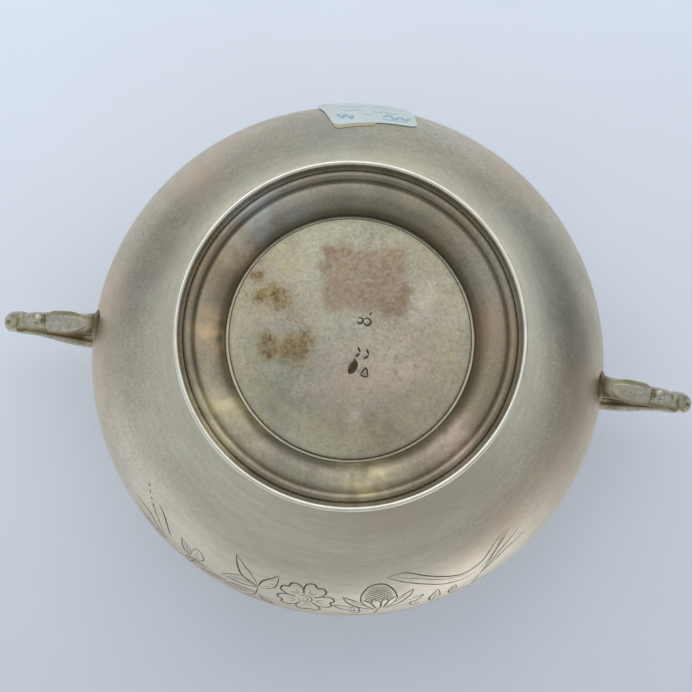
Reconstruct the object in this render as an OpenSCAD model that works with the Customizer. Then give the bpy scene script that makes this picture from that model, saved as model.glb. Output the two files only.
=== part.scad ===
// Two-handled sugar bowl from a silver tea set.
// A globular bowl stands on a low spread foot and carries a cast leaf handle on each side.
// The origin is the centre of the plane the foot rests on, +Z is up, the handles lie along X
// and the price label is on the +Y side.

/* [Bowl] */
// Radius of the bowl at its widest
belly_r = 55; // [54:0.5:56]
// Height of the widest place above the table
belly_z = 38; // [37.5:0.1:38.5]
// Radius of the curve from the widest place down to the foot
lower_curve_r = 31; // [30.8:0.1:31]
// Radius of the curve from the widest place up to the neck
upper_curve_r = 26; // [25:0.5:27]
// Angle above the horizontal at which the upper curve turns into the neck
neck_angle = 60; // [58:1:62]
// Radius of the hollow curve of the neck
neck_curve_r = 4; // [3.5:0.5:4.5]
// Thickness of the bowl's wall
wall_t = 1.2; // [1:0.1:1.4]
// Height of the whole bowl, to the top of its rim
total_h = 68; // [67.5:0.1:68.5]
// Radius of the rolled wire around the mouth
rim_wire_r = 1.3; // [1.2:0.05:1.4]

/* [Base disc] */
// Radius of the disc that closes the bottom
disc_r = 24.7; // [24.4:0.1:24.8]
// Thickness of the disc at its edge
disc_t = 1.1; // [0.9:0.1:1.2]
// How far the disc's middle bulges below its edge
disc_bulge = 0.5; // [0.2:0.1:0.7]
// Radius of the hole in the bowl that the disc closes
base_hole_r = 23.5; // [22:0.5:23.5]

/* [Foot] */
// Inner radius of the foot's upright neck
foot_neck_r = 25.2; // [25:0.1:25.4]
// Thickness of the foot's sheet
foot_t = 1; // [0.8:0.1:1.1]
// Outer radius of the curve that spreads the foot
foot_curve_r = 4.2; // [4:0.1:4.4]
// Height of the underside of the foot's flange above the table
flange_z = 2.1; // [2:0.1:2.3]
// Radius from the centre to the middle of the moulded bead under the flange
bead_ring_r = 32.75; // [32.5:0.05:32.9]
// Radius of the bead itself
bead_r = 1.1; // [0.9:0.1:1.1]
// Radius from the centre to the middle of the wire around the foot
foot_wire_ring_r = 35.1; // [35:0.1:35.4]
// Thickness of the wire around the foot
foot_wire_t = 1.1; // [1:0.1:1.2]
// Height of the wire around the foot
foot_wire_h = 3.4; // [3.2:0.1:3.6]

/* [Handles] */
// Reach of each handle from the centre
handle_reach = 75.4; // [75:0.1:76]
// Height of the middle of the handle's outer bend
bend_z = 44.6; // [44:0.1:45]
// Radius of the outer bend along its centre line
bend_r = 4.1; // [3.8:0.1:4.4]
// Thickness of the handle in the plane of its loop
loop_t = 2.6; // [2.4:0.1:2.8]
// Width of the handle across the loop
loop_w = 4.4; // [4:0.1:4.6]
// Slope of the lower arm above the horizontal
lower_slope = 30; // [29:0.5:31]
// Slope of the upper arm above the horizontal
upper_slope = 20; // [19:0.5:21]
// Straight length of the upper arm between the outer bend and the crest
upper_straight = 12.5; // [12:0.1:13]
// Radius of the crest, where the upper arm turns down to the bowl, along its centre line
crest_r = 7; // [6.5:0.1:7.5]
// Angle of the crest's end, measured from +X about the crest's centre
crest_end = 128; // [124:1:132]
// Thickness of the plate under each end of a handle
pad_t = 0.7; // [0.5:0.1:0.8]
// Radius of the plate under the lower end
lower_pad_r = 3.4; // [3.2:0.1:3.6]
// Radius of the plate under the upper end
upper_pad_r = 3; // [2.8:0.1:3.2]
// Angle below the horizontal at which the lower arm meets the bowl
lower_pad_angle = 13.5; // [12:0.5:15]
// Angle above the horizontal at which the upper arm meets the bowl
upper_pad_angle = 28; // [26:0.5:30]

/* [Handle leaf] */
// Length of the leaf along the lower arm
leaf_len = 12.6; // [12:0.1:13]
// Width of the leaf at its middle
leaf_w = 4.8; // [4.4:0.1:5]
// Thickness of the leaf
leaf_t = 0.9; // [0.7:0.1:1]
// Radius of the curl at the leaf's tip
curl_r = 1.1; // [1:0.1:1.2]
// Width of the curl at the leaf's tip
curl_w = 3.4; // [3:0.1:3.8]

/* [Label] */
// Width of the price label
label_w = 18.8; // [18:0.2:20]
// Height of the price label, measured upright
label_h = 13.4; // [12:0.2:14]
// Height of the label's middle above the table
label_z = 25; // [24.5:0.1:25.5]
// How far the label's middle is to the +X side
label_x = 1.8; // [1:0.1:3]
// How far the label's +X end leans down
label_turn = 9; // [6:1:12]
// Radius of the label's corners
label_corner_r = 2; // [1:0.5:3]
// Thickness of the label
label_t = 0.2; // [0.15:0.05:0.3]

/* [Hidden] */
$fn = 128;

silver = [0.68, 0.66, 0.60];
foot_silver = [0.55, 0.52, 0.46];
disc_silver = [0.66, 0.64, 0.58];
handle_silver = [0.62, 0.61, 0.53];
paper = [0.84, 0.89, 0.88];

// Room left when one solid is cut past another's face
over = 1;
// Thickness of the flat worn where a round wire rests
worn = 0.1;
// Bands in the disc's dome
dome_steps = 8;

bottom_z = belly_z - lower_curve_r;
lower_centre_r = belly_r - lower_curve_r;
upper_centre_r = belly_r - upper_curve_r;
neck_centre_r = upper_centre_r + (upper_curve_r + neck_curve_r) * cos(neck_angle);
neck_centre_z = belly_z + (upper_curve_r + neck_curve_r) * sin(neck_angle);
rim_z = total_h - rim_wire_r + worn;

// The rim wire is centred on the wall, at the top of the neck
neck_r_at_rim = neck_centre_r - sqrt(pow(neck_curve_r, 2) - pow(rim_z - neck_centre_z, 2));
rim_ring_r = neck_r_at_rim - wall_t / 2;

spread_centre_r = foot_neck_r + foot_curve_r;
spread_centre_z = flange_z + foot_curve_r;
foot_wire_inner_r = foot_wire_ring_r - foot_wire_t / 2;

// The loop's centre line, in the plane of the handle: X outwards, Y upwards
bend_centre = [handle_reach - bend_r - loop_t / 2, bend_z];
bend_start = lower_slope - 90;
bend_end = 90 - upper_slope;
crest_centre = bend_centre + (bend_r - crest_r) * [cos(bend_end), sin(bend_end)]
    + upper_straight * [-sin(bend_end), cos(bend_end)];
// Straight lengths that run on into the bowl, where they are cut off
arm_len = 25;
root_len = 5;
// Points along each arc of the loop
arc_steps = 12;
// Distance from the bend to the leaf's tip, along the arm
leaf_start = 6.8;

// Half of the bowl's upright section, filled in and grown outwards by grow.
module bowl_section(grow = 0) {
    top_z = grow < 0 ? rim_z + over : rim_z;
    turn_z = belly_z + (upper_curve_r + grow) * sin(neck_angle);
    translate([0, bottom_z - grow])
        square([lower_centre_r, belly_z - bottom_z + grow]);
    intersection() {
        translate([lower_centre_r, belly_z])
            circle(r = lower_curve_r + grow);
        translate([lower_centre_r, bottom_z - grow])
            square([lower_curve_r + grow, lower_curve_r + grow]);
    }
    translate([0, belly_z])
        square([upper_centre_r, top_z - belly_z]);
    intersection() {
        translate([upper_centre_r, belly_z])
            circle(r = upper_curve_r + grow);
        translate([upper_centre_r, belly_z])
            square([upper_curve_r + grow, turn_z - belly_z]);
    }
    difference() {
        translate([upper_centre_r, turn_z])
            square([neck_centre_r - upper_centre_r, top_z - turn_z]);
        translate([neck_centre_r, neck_centre_z])
            circle(r = neck_curve_r - grow);
    }
}

// The bowl as a filled solid, grown by grow, for cutting what is fixed to it.
module bowl_solid(grow = 0) {
    rotate_extrude()
        bowl_section(grow);
}

// Half of the section through the bowl's wall.
module bowl_wall_section() {
    difference() {
        bowl_section();
        bowl_section(-wall_t);
        square([base_hole_r, bottom_z + 2 * wall_t]);
    }
}

module body_shell() {
    color(silver)
        rotate_extrude()
            bowl_wall_section();
}

// The disc's underside is a shallow dome, lowest in the middle.
module base_disc() {
    edge_z = bottom_z - disc_t;
    color(disc_silver)
        rotate_extrude()
            polygon([
                [0, bottom_z],
                for (i = [0:dome_steps])
                    [disc_r * i / dome_steps, edge_z - disc_bulge * (1 - pow(i / dome_steps, 2))],
                [disc_r, bottom_z]
            ]);
}

// The foot's sheet: an upright neck, a quarter curve, a flange and a bead under it.
module foot_skirt_section() {
    neck_top = bottom_z + over;
    translate([foot_neck_r, spread_centre_z])
        square([foot_t, neck_top - spread_centre_z]);
    intersection() {
        difference() {
            translate([spread_centre_r, spread_centre_z])
                circle(r = foot_curve_r);
            translate([spread_centre_r, spread_centre_z])
                circle(r = foot_curve_r - foot_t);
        }
        translate([foot_neck_r, flange_z])
            square([foot_curve_r, foot_curve_r]);
    }
    translate([spread_centre_r, flange_z])
        square([foot_wire_inner_r - spread_centre_r, foot_t]);
    translate([bead_ring_r, flange_z])
        circle(r = bead_r);
}

module foot_skirt() {
    color(foot_silver)
        rotate_extrude()
            difference() {
                foot_skirt_section();
                bowl_section();
            }
}

// A band with round edges, worn flat where it stands on the table.
module foot_wire() {
    edge_r = foot_wire_t / 2;
    color(silver)
        rotate_extrude()
            intersection() {
                union() {
                    for (z = [edge_r - worn, foot_wire_h - edge_r])
                        translate([foot_wire_ring_r, z])
                            circle(r = edge_r);
                    translate([foot_wire_inner_r, edge_r - worn])
                        square([foot_wire_t, foot_wire_h - foot_wire_t + worn]);
                }
                square([foot_wire_ring_r + foot_wire_t, foot_wire_h]);
            }
}

// The rolled wire around the mouth, flat on top where the bowl stands when it is turned over.
module mouth_rim() {
    color(silver)
        rotate_extrude()
            difference() {
                intersection() {
                    translate([rim_ring_r, rim_z])
                        circle(r = rim_wire_r);
                    square([rim_ring_r + 2 * rim_wire_r, total_h]);
                }
                bowl_wall_section();
            }
}

// Puts its children on the +X side, or turns them to the -X side.
module on_side(side) {
    rotate([0, 0, side > 0 ? 0 : 180])
        children();
}

// Points of an arc about a centre, from one angle to another.
function arc(centre, r, from, to) =
    [for (i = [0:arc_steps]) let (a = from + (to - from) * i / arc_steps)
        centre + r * [cos(a), sin(a)]];

// One side of the loop's outline, at an offset from its centre line, from the lower end to the upper.
function loop_side(offset) = concat(
    [bend_centre + (bend_r + offset) * unit(bend_start) - arm_len * unit(lower_slope)],
    arc(bend_centre, bend_r + offset, bend_start, bend_end),
    arc(crest_centre, crest_r + offset, bend_end, crest_end),
    [crest_centre + (crest_r + offset) * unit(crest_end) + root_len * unit(crest_end + 90)]
);

function unit(angle) = [cos(angle), sin(angle)];
function reversed(points) = [for (i = [len(points) - 1:-1:0]) points[i]];

// Side view of a handle: a straight lower arm, the outer bend, and an upper arm that crests.
module loop_outline() {
    polygon(concat(loop_side(loop_t / 2), reversed(loop_side(-loop_t / 2))));
}

module handle_loop(side) {
    color(handle_silver)
        on_side(side)
            difference() {
                rotate([90, 0, 0])
                    linear_extrude(height = loop_w, center = true)
                        loop_outline();
                bowl_solid(pad_t);
            }
}

// Puts its children where the lower arm leaves the bend, with -X running down the arm.
module on_lower_arm() {
    translate([bend_centre[0], 0, bend_centre[1]])
        rotate([0, -lower_slope, 0])
            translate([0, 0, -bend_r])
                children();
}

// A long leaf laid under the lower arm, with its tip curled down at the bend.
module handle_leaf(side) {
    half = leaf_len / 2;
    lens_r = (pow(half, 2) + pow(leaf_w / 2, 2)) / leaf_w;
    color(handle_silver)
        on_side(side)
            on_lower_arm()
                translate([-leaf_start, 0, -loop_t / 2]) {
                    intersection() {
                        translate([-leaf_len, -leaf_w / 2, -leaf_t])
                            cube([leaf_len, leaf_w, leaf_t]);
                        translate([-half, lens_r - leaf_w / 2, -leaf_t])
                            cylinder(r = lens_r, h = leaf_t);
                        translate([-half, leaf_w / 2 - lens_r, -leaf_t])
                            cylinder(r = lens_r, h = leaf_t);
                    }
                    translate([0, 0, -curl_r])
                        rotate([90, 0, 0])
                            cylinder(r = curl_r, h = curl_w, center = true);
                }
}

// A round plate between the bowl and the end of an arm, shaped to the bowl.
module handle_pad(side, pad_r, centre_r, angle) {
    color(handle_silver)
        on_side(side)
            intersection() {
                difference() {
                    bowl_solid(pad_t);
                    bowl_solid();
                }
                translate([centre_r, 0, belly_z])
                    rotate([0, 90 - angle, 0])
                        cylinder(r = pad_r, h = belly_r);
            }
}

module lower_pad(side) {
    handle_pad(side, lower_pad_r, lower_centre_r, -lower_pad_angle);
}

module upper_pad(side) {
    handle_pad(side, upper_pad_r, upper_centre_r, upper_pad_angle);
}

// The label's outline, with round corners.
module label_outline() {
    inner_w = label_w / 2 - label_corner_r;
    inner_h = label_h / 2 - label_corner_r;
    for (x = [-inner_w, inner_w])
        for (y = [-inner_h, inner_h])
            translate([x, y])
                circle(r = label_corner_r);
    square([label_w, 2 * inner_h], center = true);
    square([2 * inner_w, label_h], center = true);
}

// A paper label stuck to the lower part of the bowl, a little crooked.
module price_label() {
    color(paper)
        intersection() {
            difference() {
                bowl_solid(label_t);
                bowl_solid();
            }
            translate([label_x, belly_r + over, label_z])
                rotate([90, 0, 0])
                    linear_extrude(height = belly_r)
                        rotate(-label_turn)
                            label_outline();
        }
}

body_shell();
base_disc();
foot_skirt();
foot_wire();
mouth_rim();
price_label();
handle_loop(-1);  // left_handle_loop
handle_leaf(-1);  // left_handle_leaf
upper_pad(-1);  // left_upper_pad
lower_pad(-1);  // left_lower_pad
handle_loop(1);  // right_handle_loop
handle_leaf(1);  // right_handle_leaf
upper_pad(1);  // right_upper_pad
lower_pad(1);  // right_lower_pad
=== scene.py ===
# Looks of a two-handled silver sugar bowl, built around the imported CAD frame.
# The bowl stands upright and the camera looks up at its underside, so the cloth it was laid on is above it.
# Meshes are shaped in millimetres and turn into metres when they are made. Materials measure in metres.
import math

import bmesh
import bpy
import numpy as np
from mathutils import Matrix, Vector
from mathutils.geometry import delaunay_2d_cdt


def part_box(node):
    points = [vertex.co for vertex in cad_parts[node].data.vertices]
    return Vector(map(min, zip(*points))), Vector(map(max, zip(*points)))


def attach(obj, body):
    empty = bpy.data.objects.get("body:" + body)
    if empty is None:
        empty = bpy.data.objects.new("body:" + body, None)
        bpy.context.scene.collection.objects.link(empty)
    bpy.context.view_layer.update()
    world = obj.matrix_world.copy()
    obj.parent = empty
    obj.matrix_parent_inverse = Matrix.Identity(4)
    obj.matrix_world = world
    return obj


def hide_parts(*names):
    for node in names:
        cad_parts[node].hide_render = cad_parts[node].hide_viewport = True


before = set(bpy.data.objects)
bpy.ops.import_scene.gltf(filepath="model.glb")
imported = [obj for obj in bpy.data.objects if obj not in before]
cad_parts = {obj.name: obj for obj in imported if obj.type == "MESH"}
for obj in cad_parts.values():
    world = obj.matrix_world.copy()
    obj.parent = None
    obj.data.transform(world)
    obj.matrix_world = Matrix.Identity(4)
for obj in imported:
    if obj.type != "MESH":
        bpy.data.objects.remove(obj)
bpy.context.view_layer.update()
MM = 0.001


def box_mm(node):
    """Lowest and highest corner of a CAD node, in millimetres."""
    low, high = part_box(node)
    return np.array(low) / MM, np.array(high) / MM


# ---------------------------------------------------------------- sizes
# Boxes come from the frame. The plain numbers are the CAD's own radii, slopes and thicknesses.

BOWL_LOW, BOWL_HIGH = box_mm("body_shell")
BELLY_R = round((BOWL_HIGH[1] - BOWL_LOW[1]) / 2, 1)
BOTTOM_Z = BOWL_LOW[2]
LOWER_R = 31.0
UPPER_R = 26.0
BELLY_Z = BOTTOM_Z + LOWER_R
WALL = 1.2
NECK_ANGLE = 60.0
NECK_R = 4.0
RIM_LOW, RIM_HIGH = box_mm("mouth_rim")
RIM_WIRE_R = 1.3
RIM_RING_R = RIM_HIGH[1] - RIM_WIRE_R
RIM_Z = RIM_LOW[2] + RIM_WIRE_R
DISC_LOW, DISC_HIGH = box_mm("base_disc")
DISC_R = DISC_HIGH[1]
DISC_BULGE = 0.5
DISC_EDGE_Z = DISC_LOW[2] + DISC_BULGE
HOLE_R = 23.5
WIRE_HIGH = box_mm("foot_wire")[1]
WIRE_T = 1.1
FLANGE_R = WIRE_HIGH[1] - WIRE_T
FLANGE_Z = 2.1
FOOT_NECK_R = 25.2
FOOT_T = 1.0
SPREAD_R = 4.2
BEAD_RING_R = 32.75
BEAD_R = 1.1
LOOP_LOW, LOOP_HIGH = box_mm("right_handle_loop")
HANDLE_REACH = LOOP_HIGH[0]
LOOP_W = LOOP_HIGH[1] - LOOP_LOW[1]
LOOP_T = 2.6
BEND_R = 4.1
BEND_Z = 44.6
BEND = np.array([HANDLE_REACH - BEND_R - LOOP_T / 2, BEND_Z])
CREST_R = 7.0
LOWER_SLOPE = 30.0
UPPER_SLOPE = 20.0
UPPER_STRAIGHT = 12.5
CREST_END = 128.0
LABEL_LOW, LABEL_HIGH = box_mm("price_label")


# ---------------------------------------------------------------- meshes

def arc(centre, radius, start, end, steps):
    """Points along an arc, with its angles in degrees from the first axis towards the second."""
    angles = np.radians(np.linspace(start, end, steps + 1))
    return np.array(centre) + radius * np.column_stack([np.cos(angles), np.sin(angles)])


def unit(degrees):
    """The direction at this angle from the first axis."""
    return np.array([math.cos(math.radians(degrees)), math.sin(math.radians(degrees))])


def lengths(path):
    """Distance along a path at each of its points."""
    return np.concatenate([[0], np.cumsum(np.linalg.norm(np.diff(path, axis=0), axis=1))])


def sample(path, along, at):
    """Points of a path at these distances along it."""
    return np.column_stack([np.interp(at, along, path[:, k]) for k in range(2)])


def sideways(path):
    """The direction to the left of a path at each of its points."""
    ahead = np.gradient(path, axis=0)
    side = np.column_stack([-ahead[:, 1], ahead[:, 0]])
    return side / np.linalg.norm(side, axis=1)[:, None]


def link(name, data):
    """A new object in the scene."""
    item = bpy.data.objects.new(name, data)
    bpy.context.scene.collection.objects.link(item)
    return item


def make(name, points, faces, materials, face_slots=None, corner_normals=None, sharp=35):
    """A mesh object, in metres, from points in millimetres."""
    mesh = bpy.data.meshes.new(name)
    mesh.from_pydata((np.asarray(points) * MM).tolist(), [], faces)
    for material in materials:
        mesh.materials.append(material)
    if face_slots is not None:
        mesh.polygons.foreach_set("material_index", np.asarray(face_slots, np.int32))
    mesh.polygons.foreach_set("use_smooth", np.ones(len(mesh.polygons), bool))
    if corner_normals is not None:
        mesh.normals_split_custom_set(corner_normals)
    else:
        mesh.set_sharp_from_angle(angle=math.radians(sharp))
    mesh.validate(clean_customdata=False)
    mesh.update()
    return link(name, mesh)


def face_outwards(piece):
    """Turns every face of a closed mesh to look outwards."""
    mesh = bmesh.new()
    mesh.from_mesh(piece.data)
    bmesh.ops.recalc_face_normals(mesh, faces=mesh.faces)
    mesh.to_mesh(piece.data)
    mesh.free()


def place(piece, slot, *nodes):
    """The piece rides on the one body and stands for these CAD nodes."""
    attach(piece, "root")
    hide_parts(*nodes)


def grid_faces(rows, columns, wrap_rows=False, wrap_columns=False):
    """Quads over a grid of points stored row by row."""
    index = np.arange(rows * columns).reshape(rows, columns)
    down = np.roll(index, -1, 0) if wrap_rows else index[1:]
    here = index if wrap_rows else index[:-1]
    if wrap_columns:
        quads = [here, np.roll(here, -1, 1), np.roll(down, -1, 1), down]
    else:
        quads = [here[:, :-1], here[:, 1:], down[:, 1:], down[:, :-1]]
    return np.stack(quads, -1).reshape(-1, 4).tolist()


def rim_of(rows, columns):
    """Row and column of each point around the edge of a grid, in order."""
    rim = [(0, c) for c in range(columns)] + [(r, columns - 1) for r in range(1, rows)]
    rim += [(rows - 1, c) for c in range(columns - 2, -1, -1)]
    return rim + [(r, 0) for r in range(rows - 2, 0, -1)]


def back_to_back(faces, count):
    """Adds the same faces, turned over, on the second half of the points."""
    return faces + [tuple(count + i for i in reversed(face)) for face in faces]


def slab(top, floor):
    """Points and faces of a sheet between two grids of points, closed around its rim."""
    rows, columns = top.shape[:2]
    n = rows * columns
    faces = back_to_back(grid_faces(rows, columns), n)
    ids = [r * columns + c for r, c in rim_of(rows, columns)]
    faces += [(a, b, n + b, n + a) for a, b in zip(ids, ids[1:] + ids[:1])]
    return np.vstack([top.reshape(-1, 3), floor.reshape(-1, 3)]), faces


def turned(outline, columns):
    """Points of an (r, z) outline turned about Z, row by row; column 0 faces -Y and they run towards +X."""
    outline = np.asarray(outline)
    angle = np.linspace(0, 2 * np.pi, columns, endpoint=False)
    r, z = outline[:, :1], outline[:, 1:]
    x, y = r * np.sin(angle), -r * np.cos(angle)
    return np.stack([x, y, np.broadcast_to(z, x.shape)], -1)


def ripple(angle, waves, seed):
    """A smooth closed wave around the bowl, between about -1 and 1."""
    rng = np.random.default_rng(seed)
    total = sum(np.sin(k * angle + rng.uniform(0, 2 * np.pi)) * rng.uniform(0.4, 1) for k in waves)
    return total / len(waves)


def lathe(name, outline, columns, material, wear, seed, slot, node):
    """A closed ring turned from its section, with wear in millimetres of uneven wall."""
    points = turned(outline, columns)
    angle = np.linspace(0, 2 * np.pi, columns, endpoint=False)
    waves = ripple(angle, (2, 3, 5, 9, 14, 23, 37), seed) * wear
    points[..., :2] *= (1 + waves / WIRE_HIGH[1])[:, None]
    faces = grid_faces(len(outline), columns, wrap_rows=True, wrap_columns=True)
    ring = make(name, points.reshape(-1, 3), faces, [material])
    face_outwards(ring)
    place(ring, slot, node)


# ---------------------------------------------------------------- engraving

def smooth(points, spacing=0.45):
    """A Catmull-Rom curve through given points, at an even spacing."""
    p = np.array(points, float)
    if len(p) > 2:
        ends = np.vstack([2 * p[0] - p[1], p, 2 * p[-1] - p[-2]])
        u = np.linspace(0, 1, 16, endpoint=False)[:, None]
        bits = []
        for a, b, c, d in zip(ends, ends[1:], ends[2:], ends[3:]):
            bits.append(0.5 * (2 * b + (c - a) * u + (2 * a - 5 * b + 4 * c - d) * u ** 2
                               + (3 * b - a - 3 * c + d) * u ** 3))
        p = np.vstack(bits + [p[-1:]])
    along = lengths(p)
    return sample(p, along, np.linspace(0, along[-1], max(3, round(along[-1] / spacing) + 1)))


# Half width of a cut at its middle, for each millimetre of its stated width
HALF_CUT = 0.58


def cut(points, width=0.42):
    """A burin's cut: a curve and its half width at each point, thin at both ends."""
    path = smooth(points)
    u = np.linspace(0, 1, len(path))
    return path, width * HALF_CUT * np.sin(np.pi * u) ** 0.45


def turn(points, degrees, centre=(0, 0), about=(0, 0)):
    """Points turned about one place and moved to another."""
    a = math.radians(degrees)
    m = np.array([[math.cos(a), -math.sin(a)], [math.sin(a), math.cos(a)]])
    return (np.array(points, float) - about) @ m.T + centre


def leaf(base, tip, width, bend=0.0, veins=3, rib=True):
    """A pointed leaf: two edges, a rib and short veins on one side. bend bows it sideways."""
    base, tip = np.array(base, float), np.array(tip, float)
    ahead = tip - base
    length = np.linalg.norm(ahead)
    ahead /= length
    side = np.array([-ahead[1], ahead[0]])

    def at(u, v):
        bow = bend * 4 * u * (1 - u)
        return base + ahead * length * u + side * (bow + v * width / 2)

    cuts = [cut([at(0, 0), at(0.2, 0.7), at(0.45, 1), at(0.75, 0.55), at(1, 0)]),
            cut([at(0, 0), at(0.2, -0.7), at(0.45, -1), at(0.75, -0.55), at(1, 0)], 0.26)]
    if rib:
        cuts.append(cut([at(0.02, 0), at(0.4, 0.05), at(0.8, 0)], 0.2))
    for k in range(veins):
        u = 0.22 + 0.5 * k / max(1, veins)
        cuts.append(cut([at(u, -0.05), at(u + 0.13, -0.6)], 0.16))
    return cuts


def petal_flower(centre, radius, petals=5, start=0.0):
    """An open flower: a round middle, and petals with a notched edge and fine lines."""
    centre = np.array(centre, float)
    cuts = []
    half = 180 / petals
    for k in range(petals):
        heading = start + 360 * k / petals

        def at(r, a):
            return centre + radius * r * unit(heading + a)

        cuts.append(cut([at(0.3, -half * 0.8), at(0.62, -half * 0.98), at(0.9, -half * 0.7),
                         at(0.98, -half * 0.3), at(0.86, 0), at(1, half * 0.3), at(0.92, half * 0.72),
                         at(0.62, half * 0.95), at(0.3, half * 0.8)]))
        for a, r in ((-0.35, 0.66), (0, 0.56), (0.35, 0.66)):
            cuts.append(cut([at(0.34, a * half * 0.6), at(r, a * half)], 0.16))
    cuts.append(cut(arc(centre, radius * 0.24, 0, 350, 12), 0.26))
    cuts.append(cut(arc(centre, radius * 0.11, 20, 340, 8), 0.2))
    return cuts


def bud(centre, width, height, heading=0.0):
    """A small oval bud with one line inside."""
    ring = arc((0, 0), 1, 0, 352, 14) * (width / 2, height / 2)
    inner = [(0, -height * 0.3), (width * 0.12, 0), (0, height * 0.3)]
    return [cut(turn(ring, heading, centre), 0.26), cut(turn(inner, heading, centre), 0.16)]


def thistle(foot, width, height, heading=0.0):
    """A cross-hatched dome in a cup of long pointed sepals. The dome rises from foot along heading."""
    def put(points):
        return turn(points, heading - 90, foot)

    half = width / 2
    rim = 0.2 * height
    cuts = [cut(put([(-half, rim), (-half * 0.9, height * 0.6), (-half * 0.5, height * 0.92), (0, height),
                     (half * 0.5, height * 0.92), (half * 0.9, height * 0.6), (half, rim)]))]
    step = width / 8
    for lean in (-1, 1):
        for k in range(-8, 9):
            line = []
            for u in np.linspace(0, 1, 25):
                x = k * step + lean * (u - 0.5) * height
                y = rim + u * (height - rim)
                if (x / half) ** 2 + ((y - rim) / (height - rim)) ** 2 < 0.88:
                    line.append((x, y))
            if len(line) > 4:
                cuts.append(cut(put([line[0], line[-1]]), 0.19))
    low = -0.32 * height
    for x0, tip_x, tip_y, x1 in ((-0.42, -0.50, 0.42, -0.2), (-0.2, -0.14, 0.38, 0.06),
                                 (0.06, 0.2, 0.4, 0.24), (0.24, 0.52, 0.4, 0.44)):
        tip = (tip_x * width, tip_y * height)
        cuts.append(cut(put([(x0 * half * 0.6, low), (x0 * width, rim * 0.6), tip]), 0.32))
        cuts.append(cut(put([tip, (x1 * width, rim * 0.5), (x1 * half * 0.6, low)]), 0.28))
    for side in (-1, 1):
        far, top = side * width * 0.98, 0.52 * height
        cuts.append(cut(put([(side * half * 0.2, -0.34 * height), (side * half, -0.1 * height),
                             (side * width * 0.82, 0.2 * height), (far, top)]), 0.4))
        cuts.append(cut(put([(far, top), (side * width * 0.72, 0.36 * height), (side * half, rim)]), 0.34))
        cuts.append(cut(put([(side * half * 0.7, -0.02 * height), (side * width * 0.78, 0.3 * height)]), 0.2))
        cuts.append(cut(put([(side * half * 0.5, -0.38 * height), (side * width * 0.9, -0.24 * height),
                             (side * width * 1.2, 0.06 * height), (side * width * 0.84, -0.02 * height),
                             (side * half * 1.1, -0.12 * height)]), 0.3))
    return cuts


def blades(base, tips, width=0.3):
    """Long grass blades fanning from one place, each with a slight bow."""
    base = np.array(base, float)
    cuts = []
    for tip in tips:
        tip = np.array(tip, float)
        middle = (base + tip) / 2 + np.array([0, -1.2])
        cuts.append(cut([base, middle, tip], width))
    return cuts


def dashes(points, dash=1.1, gap=0.7):
    """Short cuts in a row along a curve, swelling towards its middle."""
    path = smooth(points, 0.2)
    step = round((dash + gap) / 0.2)
    size = round(dash / 0.2)
    return [cut(path[k:k + size + 1], 0.34) for k in range(0, len(path) - size, step)]


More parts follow.
